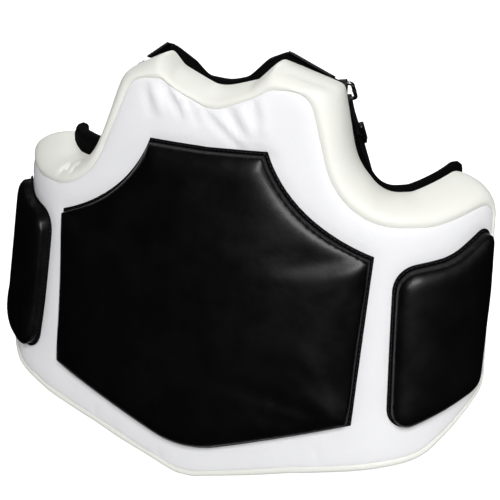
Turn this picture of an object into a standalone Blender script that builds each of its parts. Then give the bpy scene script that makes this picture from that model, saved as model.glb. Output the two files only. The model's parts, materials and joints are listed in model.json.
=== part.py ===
"""Boxing trainer's chest protector: a foam body with two folding wings, raised pads and a webbing harness.

Metres, +Z up. The wearer looks along -Y, so the wearer's left is +X. The origin lies on the outer face of
the body, on the centre line. The foam body, its lining, bands and pads are cut flat and then wrapped on the
chest's curve: s runs along the outer face from the centre line, z is the height, and t stands out from it.
"""

import math

import bmesh
import bpy
from mathutils import Matrix, Vector

# ---------------------------------------------------------------- driving dimensions

GAP = 0.0003              # clearance between touching pieces
FRONT_RADIUS = 0.835      # the outer face across the chest
FRONT_HALF = 0.142        # arc length from the centre line to the tight bend
BEND_RADIUS = 0.131       # the bend round the ribs
BEND_END = 0.270          # arc length where the bend ends
REAR_RADIUS = 0.50        # the wing's rear end
TAPER = (-0.185, 0.75)    # the width grows by 1 + a z + b z^2
LEAN = (0.175, -0.25)     # the face leans back by a z + b z^2

FOAM_GAP = 0.0012         # between the foam and the band round it
SKIN = 0.0012             # vinyl of the face, bands and pad covers
FOAM_BACK = 0.040         # depth of the foam body
LINING_BACK = 0.054       # depth of the lining's back face
FOLD = 0.164              # arc length of the fold between the body and a wing
FOLD_GAP = 0.0006

CELL_S = (0.0, 0.047, 0.095, FRONT_HALF, FOLD, 0.185, 0.206, 0.228, 0.249, BEND_END, 0.295)
CELL_Z = [-0.24 + 0.04 * k for k in range(11)]

STRAP_WIDTH = 0.025
BELT_WIDTH = 0.038
WEB = 0.0018              # thickness of the webbing
WIRE = 0.0018             # radius of the rings' wire
LOOP_CLEAR = 0.0004       # between a ring's bar and the webbing round it

# ---------------------------------------------------------------- the chest's curve


def heading(s):
    """Direction of the horizontal section at arc length s."""
    front = min(s, FRONT_HALF) / FRONT_RADIUS
    bend = max(0.0, min(s, BEND_END) - FRONT_HALF) / BEND_RADIUS
    return front + bend + max(0.0, s - BEND_END) / REAR_RADIUS


def arc_step(point, angle, turn, radius):
    """Move a section point along an arc that starts at heading angle and turns by turn."""
    x = point[0] + radius * (math.sin(angle + turn) - math.sin(angle))
    y = point[1] + radius * (math.cos(angle) - math.cos(angle + turn))
    return x, y


def section(s):
    """Place of the outer face at arc length s on the section at z = 0."""
    point = arc_step((0.0, 0.0), 0.0, min(s, FRONT_HALF) / FRONT_RADIUS, FRONT_RADIUS)
    if s > FRONT_HALF:
        turn = (min(s, BEND_END) - FRONT_HALF) / BEND_RADIUS
        point = arc_step(point, heading(FRONT_HALF), turn, BEND_RADIUS)
    if s > BEND_END:
        point = arc_step(point, heading(BEND_END), (s - BEND_END) / REAR_RADIUS, REAR_RADIUS)
    return point


def between(value, stops):
    """Cell of an ascending list of stops that holds the value, and how far through it."""
    cell = 0
    while cell < len(stops) - 2 and value > stops[cell + 1]:
        cell += 1
    return cell, (value - stops[cell]) / (stops[cell + 1] - stops[cell])


def blend(cell, part, rows):
    """A row interpolated between two neighbours."""
    return [a + (b - a) * part for a, b in zip(rows[cell], rows[cell + 1])]


SECTION_ROWS = [(*section(s), math.sin(heading(s)), math.cos(heading(s))) for s in CELL_S]
HEIGHT_ROWS = [(1.0 + TAPER[0] * z + TAPER[1] * z * z, LEAN[0] * z + LEAN[1] * z * z) for z in CELL_Z]


def wrap(s, z, t):
    """World place of a flat point. Every layer shares the same flat cells, so layers never cross."""
    x, y, sine, cosine = blend(*between(abs(s), CELL_S), SECTION_ROWS)
    width, lean = blend(*between(z, CELL_Z), HEIGHT_ROWS)
    side = math.copysign(1.0, s)
    return Vector((side * (x * width + t * sine), y + lean - t * cosine, z))


# ---------------------------------------------------------------- flat outlines


def fillet(before, corner, after, radius, steps):
    """Points of the arc that rounds a corner."""
    corner = Vector(corner)
    into = (Vector(before) - corner).normalized()
    out = (Vector(after) - corner).normalized()
    half = into.angle(out) / 2.0
    reach = radius / math.tan(half)
    centre = corner + (into + out).normalized() * (radius / math.sin(half))
    first = corner + into * reach - centre
    last = corner + out * reach - centre
    whole = first.angle(last)
    points = []
    for k in range(steps + 1):
        part = k / steps
        arm = first * math.sin((1.0 - part) * whole) + last * math.sin(part * whole)
        points.append(centre + arm / math.sin(whole))
    return points


def rounded(corners):
    """An open chain through (s, z, radius, steps) corners, each rounded by its radius."""
    chain = []
    for k, (s, z, radius, steps) in enumerate(corners):
        if radius > 0.0:
            chain += fillet(corners[k - 1][:2], (s, z), corners[k + 1][:2], radius, steps)
        else:
            chain.append(Vector((s, z)))
    return chain


def curve3(start, pull, end, steps):
    """A quadratic curve from start to end, without its first point."""
    start, pull, end = Vector(start), Vector(pull), Vector(end)
    parts = [(k + 1) / steps for k in range(steps)]
    return [start * (1 - p) ** 2 + pull * (2 * p * (1 - p)) + end * p * p for p in parts]


def full_loop(half):
    """A closed anticlockwise loop from the half at s >= 0, which runs clockwise from the top."""
    right = [Vector(p) for p in half]
    left = [Vector((-p.x, p.y)) for p in right if p.x > 1e-6]
    return left + right[::-1]


def inset(loop, distance):
    """The closed loop moved inwards by a distance, corner for corner."""
    moved = []
    for k, point in enumerate(loop):
        into = (point - loop[k - 1]).normalized()
        out = (loop[(k + 1) % len(loop)] - point).normalized()
        normal = Vector((-into.y - out.y, into.x + out.x)).normalized()
        cosine = normal.dot(Vector((-into.y, into.x)))
        moved.append(point + normal * (distance / max(cosine, 0.4)))
    return moved


# ---------------------------------------------------------------- outlines of the body
# Corners are (s, z, radius, steps). The face and the back have matching corners, so the band joins them
# corner for corner.

REAR = 0.272
HEM_LOW = -0.2300
HEM_LEVEL = 0.008         # half the level edge that the protector stands on
HEM = [
    (REAR, -0.1340, 0.022, 4),
    (0.2015, -0.1825, 0.05, 2),
    (0.093, -0.2065, 0.10, 2),
    (HEM_LEVEL, HEM_LOW, 0.0, 0),
]
FACE_TOP = [
    (0.0, 0.1010, 0.0, 0),
    (0.034, 0.1095, 0.030, 2),
    (0.062, 0.1235, 0.014, 3),
    (0.0905, 0.1235, 0.013, 3),
    (0.1205, 0.0145, 0.045, 6),
    (0.205, 0.0145, 0.080, 2),
    (REAR, 0.0310, 0.008, 3),
]
BACK_TOP = [
    (0.0, 0.1145, 0.0, 0),
    (0.042, 0.1265, 0.012, 2),
    (0.0555, 0.1410, 0.003, 3),
    (0.1115, 0.1265, 0.004, 3),
    (0.134, 0.0330, 0.050, 6),
    (0.197, 0.0325, 0.040, 2),
    (0.275, 0.0535, 0.008, 3),
]
LINING_TOP = [
    (0.0, 0.1140, 0.030, 4),
    (0.0545, 0.1475, 0.002, 2),
    (0.1125, 0.1275, 0.003, 2),
    (0.137, 0.0355, 0.045, 6),
    (0.197, 0.0360, 0.040, 2),
    (0.280, 0.0555, 0.004, 2),
    (0.280, -0.1330, 0.022, 4),
]


def face_loop():
    """Edge of the white face, where the skin meets the band."""
    return full_loop(rounded(FACE_TOP + HEM))


def back_loop():
    """Edge of the foam's back, where the band meets the lining."""
    return full_loop(rounded(BACK_TOP + HEM))


def lining_loop():
    """Edge of the padded lining, which stands a little proud of the band at the top."""
    corners = [(-LINING_TOP[1][0], LINING_TOP[1][1], 0.0, 0)] + LINING_TOP + HEM[1:]
    chain = rounded(corners)[1:]
    return full_loop([p for p in chain if p.x > -1e-6])


# ---------------------------------------------------------------- flat solids


def join_rings(shape, low, high):
    """Triangles between matching rings. Each diagonal climbs outwards, so that nested walls split alike."""
    climbs = low[0].co.z <= high[0].co.z
    for k, (a, d) in enumerate(zip(low, high)):
        n = (k + 1) % len(low)
        b, c = low[n], high[n]
        triangles = ((a, b, c), (a, c, d)) if climbs else ((a, b, d), (b, c, d))
        for triangle in triangles:
            shape.faces.new(triangle)


def loft(loops):
    """A closed solid through matching closed loops of (s, z, t) points, capped at both ends."""
    shape = bmesh.new()
    rings = [[shape.verts.new(p) for p in loop] for loop in loops]
    for low, high in zip(rings, rings[1:]):
        join_rings(shape, low, high)
    shape.faces.new(rings[0][::-1])
    shape.faces.new(rings[-1])
    return shape


def swept_ring(loops):
    """A closed ring whose section joins matching loops in turn."""
    shape = bmesh.new()
    rings = [[shape.verts.new(p) for p in loop] for loop in loops]
    for low, high in zip(rings, rings[1:] + rings[:1]):
        join_rings(shape, low, high)
    return shape


def at_depth(loop, t):
    """The loop as flat points at offset t."""
    return [Vector((p.x, p.y, t)) for p in loop]


def between_loops(face, back, t):
    """The body's outline at offset t, between the face's edge and the back's edge."""
    part = min(1.0, -t / FOAM_BACK)
    return [a.lerp(b, part) for a, b in zip(face, back)]


def slab(face, back, t_out, t_in, margin):
    """A layer of the body between two offsets, kept a margin inside the body's outline."""
    low = inset(between_loops(face, back, t_in), margin)
    high = inset(between_loops(face, back, t_out), margin)
    return loft([at_depth(low, t_in), at_depth(high, t_out)])


def band(face, back):
    """The closed strip that boxes the foam in, from the face's edge to the back's edge."""
    return swept_ring([
        at_depth(face, 0.0),
        at_depth(inset(face, SKIN), 0.0),
        at_depth(inset(back, SKIN), -FOAM_BACK),
        at_depth(back, -FOAM_BACK),
    ])


def cut(shape, place, normal):
    """Keep what lies behind a plane, and close the cut."""
    everything = shape.verts[:] + shape.edges[:] + shape.faces[:]
    bmesh.ops.bisect_plane(
        shape, geom=everything, dist=1e-7, plane_co=place, plane_no=normal, clear_outer=True
    )
    rims = [edge for edge in shape.edges if edge.is_boundary]
    bmesh.ops.holes_fill(shape, edges=rims, sides=0)


def keep_front(shape):
    """Keep the stretch between the two folds."""
    edge = FOLD - FOLD_GAP / 2.0
    cut(shape, (edge, 0.0, 0.0), (1.0, 0.0, 0.0))
    cut(shape, (-edge, 0.0, 0.0), (-1.0, 0.0, 0.0))


def keep_wing(shape, side):
    """Keep the stretch beyond one fold."""
    edge = FOLD + FOLD_GAP / 2.0
    cut(shape, (side * edge, 0.0, 0.0), (-side, 0.0, 0.0))


def split_at(shape, place, normal):
    """Add an edge loop where a plane meets the shape."""
    everything = shape.verts[:] + shape.edges[:] + shape.faces[:]
    bmesh.ops.bisect_plane(shape, geom=everything, dist=1e-7, plane_co=place, plane_no=normal)


def wrap_shape(shape):
    """Split a flat solid at the shared cells and wrap it on the chest."""
    for s in CELL_S:
        for side in (-1.0, 1.0) if s > 0.0 else (1.0,):
            split_at(shape, (side * s, 0.0, 0.0), (1.0, 0.0, 0.0))
    for z in CELL_Z:
        split_at(shape, (0.0, z, 0.0), (0.0, 1.0, 0.0))
    bmesh.ops.remove_doubles(shape, verts=shape.verts[:], dist=1e-5)
    bmesh.ops.triangulate(shape, faces=shape.faces[:])
    for vertex in shape.verts:
        vertex.co = wrap(*vertex.co)
    shape.normal_update()
    bmesh.ops.recalc_face_normals(shape, faces=shape.faces[:])


# ---------------------------------------------------------------- raised pads

PAD_RISE = ((0.0, 0.0045), (0.0035, 0.0098), (0.0095, 0.0140))   # (inset, height) of the crown
PIPE = 0.0016             # half the thickness of the stitched rim round a pad
PAD_BASE = 0.0006


def pad_loop_center():
    """Outline of the centre pad: level top, hollow flanks, sharp shoulders and a blunt point below."""
    half = [Vector((0.0, 0.0700)), Vector((0.0571, 0.0714))]
    half += curve3((0.0571, 0.0714), (0.0796, 0.0156), (0.155, -0.0091), 6)
    half.append(Vector((0.1447, -0.1549)))
    tip = fillet((0.1447, -0.1549), (0.0, -0.2052), (-0.1447, -0.1549), 0.09, 6)
    half += [p for p in tip if p.x > -1e-6]
    return full_loop(half)


def pad_loop_side(side):
    """Outline of a side pad, whose top edge rises to the rear."""
    corners = [
        (0.1735, -0.1000, 0.0, 0),
        (0.1735, -0.1610, 0.014, 2),
        (0.2552, -0.1290, 0.015, 2),
        (0.2562, 0.0067, 0.014, 2),
        (0.1735, -0.0215, 0.020, 3),
        (0.1735, -0.1000, 0.0, 0),
    ]
    loop = rounded(corners)[:-1]
    if side < 0.0:
        loop = [Vector((-p.x, p.y)) for p in loop[::-1]]
    return loop


def crown(loop, margin, drop):
    """Rings of a pad's crown, a margin inside the outline and a drop below its top."""
    return [at_depth(inset(loop, margin + d), h - drop) for d, h in PAD_RISE]


def pad_cover(loop):
    """The open shell of a pad's cover."""
    edge = 2.0 * PIPE + GAP
    outer = [at_depth(inset(loop, edge), PAD_BASE)] + crown(loop, edge, 0.0)
    inner = [at_depth(inset(loop, edge + SKIN), PAD_BASE)] + crown(loop, edge + SKIN, SKIN)
    return loft(inner[::-1] + outer)


def pad_foam(loop):
    """The solid filling of a pad, clear of its cover."""
    edge = 2.0 * PIPE + SKIN + 2.0 * GAP
    drop = SKIN + GAP
    return loft([at_depth(inset(loop, edge), PAD_BASE)] + crown(loop, edge, drop))


def pad_piping(loop):
    """The stitched rim round a pad, a square cord on its edge."""
    corners = ((1.0, 0.0), (0.0, 1.0), (-1.0, 0.0), (0.0, -1.0))
    return swept_ring([
        at_depth(inset(loop, PIPE * (1.0 - x)), PAD_BASE + PIPE * (1.0 + y)) for x, y in corners
    ])


# ---------------------------------------------------------------- scene


def clear_scene():
    for thing in list(bpy.data.objects):
        bpy.data.objects.remove(thing, do_unlink=True)


def collection(name):
    group = bpy.data.collections.new(name)
    bpy.context.scene.collection.children.link(group)
    return group


def material(name, colour, roughness, metallic=0.0):
    finish = bpy.data.materials.new(name)
    finish.use_nodes = True
    shader = finish.node_tree.nodes["Principled BSDF"]
    shader.inputs["Base Color"].default_value = (*colour, 1.0)
    shader.inputs["Roughness"].default_value = roughness
    shader.inputs["Metallic"].default_value = metallic
    return finish


clear_scene()
PARTS = collection("chest_protector")
CUTTERS = collection("cutters")
WHITE_VINYL = material("white_vinyl", (0.85, 0.86, 0.88), 0.35)
CREAM_VINYL = material("cream_vinyl", (0.82, 0.81, 0.76), 0.45)
BLACK_VINYL = material("black_vinyl", (0.012, 0.012, 0.013), 0.28)
LINING = material("lining_fabric", (0.02, 0.02, 0.021), 0.75)
FOAM = material("foam", (0.55, 0.52, 0.42), 0.9)
WEBBING = material("webbing", (0.018, 0.018, 0.02), 0.7)
STEEL = material("steel", (0.55, 0.56, 0.58), 0.25, 1.0)
PLASTIC = material("black_plastic", (0.02, 0.02, 0.022), 0.4)


def add_mesh(name, mesh, finish):
    """Put a mesh in the model as a named piece."""
    mesh.name = name
    mesh.materials.clear()
    mesh.materials.append(finish)
    piece = bpy.data.objects.new(name, mesh)
    PARTS.objects.link(piece)
    return piece


def add_wrapped(name, shape, finish):
    """Wrap a flat solid and put it in the model."""
    wrap_shape(shape)
    mesh = bpy.data.meshes.new(name)
    shape.to_mesh(mesh)
    shape.free()
    return add_mesh(name, mesh, finish)


# ---------------------------------------------------------------- body and wings

SHOULDER_JOIN = 0.083     # arc length where the neck band meets an armhole band
ARMHOLE_LOW = -0.05       # height below which the band is the hem


def body_band(low_s, high_s, top):
    """A stretch of the band: its top or its hem, between two arc lengths."""
    shape = band(FACE, BACK)
    cut(shape, (high_s - GAP / 2.0, 0.0, 0.0), (1.0, 0.0, 0.0))
    cut(shape, (low_s + GAP / 2.0, 0.0, 0.0), (-1.0, 0.0, 0.0))
    cut(shape, (0.0, ARMHOLE_LOW, 0.0), (0.0, -1.0 if top else 1.0, 0.0))
    return shape


def add_body():
    """The front: face, foam, lining and the bands between the two folds."""
    edge = FOLD - FOLD_GAP / 2.0 + GAP / 2.0
    panel = slab(FACE, BACK, 0.0, -SKIN, SKIN + GAP)
    foam = slab(FACE, BACK, -SKIN - GAP, -FOAM_BACK + GAP, SKIN + FOAM_GAP)
    lining = loft([at_depth(LINED, -LINING_BACK), at_depth(LINED, -FOAM_BACK - GAP)])
    for name, shape, finish in (
        ("front_panel", panel, WHITE_VINYL),
        ("front_foam", foam, FOAM),
        ("front_liner", lining, LINING),
    ):
        keep_front(shape)
        add_wrapped(name, shape, finish)
    add_wrapped("neck_band", body_band(-SHOULDER_JOIN, SHOULDER_JOIN, True), CREAM_VINYL)
    add_wrapped("armhole_band_left", body_band(SHOULDER_JOIN, edge, True), CREAM_VINYL)
    add_wrapped("armhole_band_right", body_band(-edge, -SHOULDER_JOIN, True), CREAM_VINYL)
    add_wrapped("front_hem_band", body_band(-edge, edge, False), CREAM_VINYL)


def add_wing(word, side):
    """One wing: face, foam, lining and the band round its three free edges."""
    pieces = []
    panel = slab(FACE, BACK, 0.0, -SKIN, SKIN + GAP)
    foam = slab(FACE, BACK, -SKIN - GAP, -FOAM_BACK + GAP, SKIN + FOAM_GAP)
    lining = loft([at_depth(LINED, -LINING_BACK), at_depth(LINED, -FOAM_BACK - GAP)])
    for name, shape, finish in (
        ("wing_panel_", panel, WHITE_VINYL),
        ("wing_foam_", foam, FOAM),
        ("wing_liner_", lining, LINING),
        ("wing_band_", band(FACE, BACK), CREAM_VINYL),
    ):
        keep_wing(shape, side)
        pieces.append(add_wrapped(name + word, shape, finish))
    return pieces


def add_pad(prefix, suffix, loop):
    """A raised pad: its cover, its filling and its stitched rim."""
    return [
        add_wrapped(prefix + "_cover" + suffix, pad_cover(loop), BLACK_VINYL),
        add_wrapped(prefix + "_foam" + suffix, pad_foam(loop), FOAM),
        add_wrapped(prefix + "_piping" + suffix, pad_piping(loop), BLACK_VINYL),
    ]


# ---------------------------------------------------------------- webbing, rings and sliders

LAYER = WEB + GAP         # pitch of two layers of webbing sewn together
BAR_ROUND = WIRE + LOOP_CLEAR + WEB / 2.0   # radius of the webbing's middle round a bar
LOOP_SEWN = 0.034         # length of a sewn loop's tail
RING_DROP = 0.020         # between a ring's two bars
RING_SPARE = 0.005        # room beside the webbing inside a ring
RING_CORNER = 0.003
WRAP_START = 0.008        # distance from a bar at which a wrap of webbing lies flat
SLIDER_LENGTH = 0.024
SLIDER_RAIL = 0.0028      # width of a slider's two rails
SLIDER_RAIL_HALF = 0.0034
SLIDER_BAR = 0.0030       # how far a slider's bars reach from the webbing's middle
SLIDER_BAR_HALF = 0.0016
SLIDER_END_BAR = 0.0098   # from the middle bar to either end bar
MELD = 0.001              # how far joined members run into each other


def frame_at(origin, along, width):
    """A frame with X along the webbing and Z across it."""
    across = width.normalized()
    ahead = (along - across * along.dot(across)).normalized()
    turn = Matrix((ahead, across.cross(ahead), across)).transposed()
    return Matrix.Translation(origin) @ turn.to_4x4()


def arc(radius, start, end, steps):
    """Points (x, y) of an arc round the origin, in degrees."""
    angles = [math.radians(start + (end - start) * k / steps) for k in range(steps + 1)]
    return [(radius * math.cos(a), radius * math.sin(a)) for a in angles]


def add_ribbon(name, left_edge, right_edge):
    """A strip of webbing between two matching edges."""
    mesh = bpy.data.meshes.new(name)
    count = len(left_edge)
    faces = [(k, k + 1, count + k + 1, count + k) for k in range(count - 1)]
    mesh.from_pydata(list(left_edge) + list(right_edge), [], faces)
    piece = add_mesh(name, mesh, WEBBING)
    thick = piece.modifiers.new("webbing", "SOLIDIFY")
    thick.thickness = WEB
    thick.offset = 0.0
    thick.use_even_offset = True
    return piece


def ribbon_in(name, frame, path, width):
    """A strip of webbing along a path (x, y) in a frame."""
    low = [frame @ Vector((x, y, -width / 2.0)) for x, y in path]
    high = [frame @ Vector((x, y, width / 2.0)) for x, y in path]
    return add_ribbon(name, low, high)


def add_ring(name, frame, width):
    """A rounded rectangular wire ring: its first bar on the frame's Z axis, its second further along X."""
    half = (width + RING_SPARE) / 2.0 + WIRE
    corner = RING_CORNER
    points = []
    for x, z, start in (
        (corner, half - corner, 90),
        (corner, corner - half, 180),
        (RING_DROP - corner, corner - half, 270),
        (RING_DROP - corner, half - corner, 360),
    ):
        for across, along in arc(corner, start, start + 90, 3):
            points.append((x + across, 0.0, z + along))
    wire = bpy.data.curves.new(name, "CURVE")
    wire.dimensions = "3D"
    wire.bevel_depth = WIRE
    wire.bevel_resolution = 1
    spline = wire.splines.new("POLY")
    spline.points.add(len(points) - 1)
    for point, place in zip(spline.points, points):
        point.co = (*place, 1.0)
    spline.use_cyclic_u = True
    wire.materials.append(STEEL)
    ring = bpy.data.objects.new(name, wire)
    PARTS.objects.link(ring)
    ring.matrix_world = frame
    return ring


def box(name, low, high, group, frame=None):
    """A box between two corners, in a frame."""
    shape = bmesh.new()
    bmesh.ops.create_cube(shape, size=1.0)
    low, high = Vector(low), Vector(high)
    for vertex in shape.verts:
        vertex.co = [l + (h - l) * (c + 0.5) for l, h, c in zip(low, high, vertex.co)]
    mesh = bpy.data.meshes.new(name)
    shape.to_mesh(mesh)
    shape.free()
    piece = bpy.data.objects.new(name, mesh)
    group.objects.link(piece)
    piece.matrix_world = frame or Matrix()
    return piece


def combine(piece, tool, operation):
    """Add a tool to a piece, or cut it away, with a Boolean."""
    tool.hide_render = True
    tool.display_type = "WIRE"
    boolean = piece.modifiers.new(tool.name, "BOOLEAN")
    boolean.operation = operation
    boolean.object = tool


def add_slider(name, frame, width, finish):
    """A slider: two rails beside the webbing, two bars behind it and a middle bar in front."""
    inner = width / 2.0 + LOOP_CLEAR
    outer = inner + SLIDER_RAIL
    face = WEB / 2.0 + LOOP_CLEAR
    rail, bar, half = SLIDER_RAIL_HALF, SLIDER_BAR, SLIDER_BAR_HALF
    end = SLIDER_LENGTH / 2.0
    slider = box(name, (-end, -rail, inner), (end, rail, outer), PARTS, frame)
    slider.data.materials.append(finish)
    reach = inner + MELD
    members = [((-end, -rail, -outer), (end, rail, -inner))]
    for x in (-SLIDER_END_BAR, SLIDER_END_BAR):
        members.append(((x - half, face, -reach), (x + half, bar, reach)))
    members.append(((-half, -bar, -reach), (half, -face, reach)))
    for k, (low, high) in enumerate(members):
        combine(slider, box(f"{name}_member_{k}", low, high, CUTTERS, frame), "UNION")
    return slider


# ---------------------------------------------------------------- joints


def joint_empty(name, place):
    """An empty on a joint's axis, for the pieces that turn or slide on it."""
    empty = bpy.data.objects.new(name, None)
    empty.empty_display_size = 0.02
    PARTS.objects.link(empty)
    empty.matrix_world = place if isinstance(place, Matrix) else Matrix.Translation(place)
    return empty


def attach(pieces, empty, parent=None):
    """Parent pieces to a joint's empty, and the empty to the joint before it, all staying in place."""
    bpy.context.view_layer.update()
    for piece in pieces:
        piece.parent = empty
        piece.matrix_parent_inverse = empty.matrix_world.inverted()
    if parent:
        empty.parent = parent
        empty.matrix_parent_inverse = parent.matrix_world.inverted()


# ---------------------------------------------------------------- shoulders

SHOULDER_S = 0.098        # arc length of the strap's middle
STRAP_LEAN = 0.12         # the straps spread this much outwards on their way down
SHOULDER_RING_Z = 0.1185
STRAP_RAKE = (0.6, -0.8)  # the strap runs back and down
BELT_Y = 0.205            # the belt's middle across the wearer's back
BELT_Z = -0.060
STRAP_CLEAR = 0.0045      # between the strap's free end and the belt
SLIDER_AT = 0.050
FLAT_RUN = 0.112          # length of a back strap that stays flat, for its slider
BINDING_END = 0.05        # share of the shoulder's edge left bare at each end of its binding


def add_shoulder_binding(word, side):
    """Webbing sewn along the top edge of the lining on a shoulder."""
    inner, outer = LINING_TOP[1], LINING_TOP[2]
    start = Vector(inner[:2]).lerp(Vector(outer[:2]), BINDING_END)
    end = Vector(outer[:2]).lerp(Vector(inner[:2]), BINDING_END)
    rise = Vector((start.y - end.y, end.x - start.x)).normalized()
    corners = [start + rise * 2 * GAP, end + rise * 2 * GAP, end + rise * WEB, start + rise * WEB]
    loop = [Vector((side * p.x, p.y)) for p in corners][:: int(side)]
    shape = loft([at_depth(loop, -LINING_BACK - WEB), at_depth(loop, -FOAM_BACK - 2.0 * GAP)])
    return add_wrapped("shoulder_binding_" + word, shape, WEBBING)


def shoulder_frames(side):
    """Frames on the bars of a shoulder's ring: one for the sewn loop, two for the ring's bars."""
    turn = heading(SHOULDER_S)
    width = Vector((math.cos(turn), side * math.sin(turn), side * STRAP_LEAN)).normalized()
    rear = Vector((-side * math.sin(turn), math.cos(turn), 0.0))
    on_lining = wrap(side * SHOULDER_S, SHOULDER_RING_Z, -LINING_BACK)
    lower = wrap(side * SHOULDER_S, SHOULDER_RING_Z - LOOP_SEWN, -LINING_BACK)
    bar = on_lining + rear * (BAR_ROUND + WEB / 2.0 + 3.0 * GAP)
    along = rear * STRAP_RAKE[0] + Vector((0.0, 0.0, STRAP_RAKE[1]))
    ring = frame_at(bar, along, width)
    return frame_at(bar, lower - on_lining, width), ring, ring @ Matrix.Translation((RING_DROP, 0.0, 0.0))


def strap_path():
    """The strap's run, free end first, up to the ring and back on itself."""
    near = (WRAP_START, LAYER / 2.0)
    tail = [(WRAP_START, -LAYER / 2.0), (LOOP_SEWN, -LAYER / 2.0)]
    return [near] + arc(BAR_ROUND, 70, 290, 8) + tail


def add_strap(name, frame):
    """A back strap: flat where its slider runs, then turning on its way to the belt and down beside it."""
    path = strap_path()
    half = Vector((0.0, 0.0, STRAP_WIDTH / 2.0))
    low = [frame @ (Vector((*p, 0.0)) - half) for p in path]
    high = [frame @ (Vector((*p, 0.0)) + half) for p in path]
    ahead = frame.col[0].to_3d()
    start = frame @ Vector((WRAP_START, LAYER / 2.0, 0.0))
    reach = (BELT_Y - WEB - STRAP_CLEAR - start.y) / ahead.y
    knee = start + ahead * reach
    foot = Vector((knee.x, knee.y, BELT_Z - BELT_WIDTH / 2.0))
    for point, bend in ((start + ahead * FLAT_RUN, 0.0), (knee, 0.5), (foot, 1.0)):
        across = frame.col[2].to_3d().lerp(Vector((1.0, 0.0, 0.0)), bend) * (STRAP_WIDTH / 2.0)
        low.insert(0, point - across)
        high.insert(0, point + across)
    return add_ribbon(name, low, high)


def add_shoulder(word, side):
    """Shoulder webbing, loop, ring, strap and slider of one side."""
    add_shoulder_binding(word, side)
    sewn, ring_frame, strap_frame = shoulder_frames(side)
    loop = [(LOOP_SEWN, LAYER - BAR_ROUND), (WRAP_START, LAYER - BAR_ROUND)]
    loop += arc(BAR_ROUND, 60, 270, 8) + [(LOOP_SEWN, -BAR_ROUND)]
    ribbon_in("shoulder_loop_" + word, sewn, loop, STRAP_WIDTH)
    ring = add_ring("shoulder_ring_" + word, ring_frame, STRAP_WIDTH)
    strap = add_strap("back_strap_" + word, strap_frame)
    slide_frame = strap_frame @ Matrix.Translation((SLIDER_AT, LAYER / 2.0, 0.0))
    slider = add_slider("strap_slider_" + word, slide_frame, STRAP_WIDTH, STEEL)
    ring_joint = joint_empty("shoulder_ring_joint_" + word, ring_frame)
    strap_joint = joint_empty("back_strap_joint_" + word, strap_frame)
    slider_joint = joint_empty("strap_slider_joint_" + word, slide_frame)
    attach([ring], ring_joint)
    attach([strap], strap_joint, ring_joint)
    attach([slider], slider_joint, strap_joint)


# ---------------------------------------------------------------- belt

ANCHOR_S = (0.240, 0.249, 0.270)     # the sewn stretch of the belt's anchor
BELT_BAR_S = 0.290
ANCHOR_ROUND = BAR_ROUND + LOOP_CLEAR   # the wrap narrows the anchor's loop a little
BELT_TURN_IN = math.radians(14.0)    # the belt ring points this far in from straight back
BELT_RUN = 0.072          # straight run of the belt beside each buckle half
BELT_PULL = 0.045
BELT_STEPS = 10
BELT_TAIL = 0.018
HOUSING_BAR = 0.0435      # x of the bar that holds the belt
INSERT_BAR = -0.0510
BELT_SLIDER_X = 0.078


def belt_frames(side):
    """Frames on the two bars of a belt ring, at the rear end of a wing."""
    t_bar = -LINING_BACK - 2.0 * GAP - WEB / 2.0 - ANCHOR_ROUND
    s_bar = side * BELT_BAR_S
    bar = wrap(s_bar, BELT_Z, t_bar)
    half = BELT_WIDTH / 2.0
    up = (wrap(s_bar, BELT_Z + half, t_bar) - wrap(s_bar, BELT_Z - half, t_bar)).normalized()
    rear = Vector((-side * math.sin(BELT_TURN_IN), math.cos(BELT_TURN_IN), 0.0))
    first = frame_at(bar, rear, up * side)
    return first, first @ Matrix.Translation((RING_DROP, 0.0, 0.0))


def add_anchor(name, side):
    """The webbing sewn inside a wing's rear end, looped round the belt ring's first bar."""
    t_near = -LINING_BACK - 2.0 * GAP - WEB / 2.0
    t_bar = t_near - ANCHOR_ROUND
    path = [(s, t_near) for s in ANCHOR_S]
    path += [(BELT_BAR_S + x, t_bar + y) for x, y in arc(ANCHOR_ROUND, 90, -120, 8)]
    path.append((BELT_BAR_S - WRAP_START, t_near - LAYER))
    path += [(s, t_near - LAYER) for s in reversed(ANCHOR_S)]
    half = BELT_WIDTH / 2.0
    low = [wrap(side * s, BELT_Z - half, t) for s, t in path]
    high = [wrap(side * s, BELT_Z + half, t) for s, t in path]
    return add_ribbon(name, low, high)


def belt_curve(start, pull, run_end, run_pull):
    """The belt's bend from its ring to its straight run, without its first point."""
    points = []
    for k in range(1, BELT_STEPS + 1):
        p = k / BELT_STEPS
        q = 1.0 - p
        ends = start * q**3 + run_end * p**3
        points.append(ends + pull * (3 * p * q * q) + run_pull * (3 * p * p * q))
    return points


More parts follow.
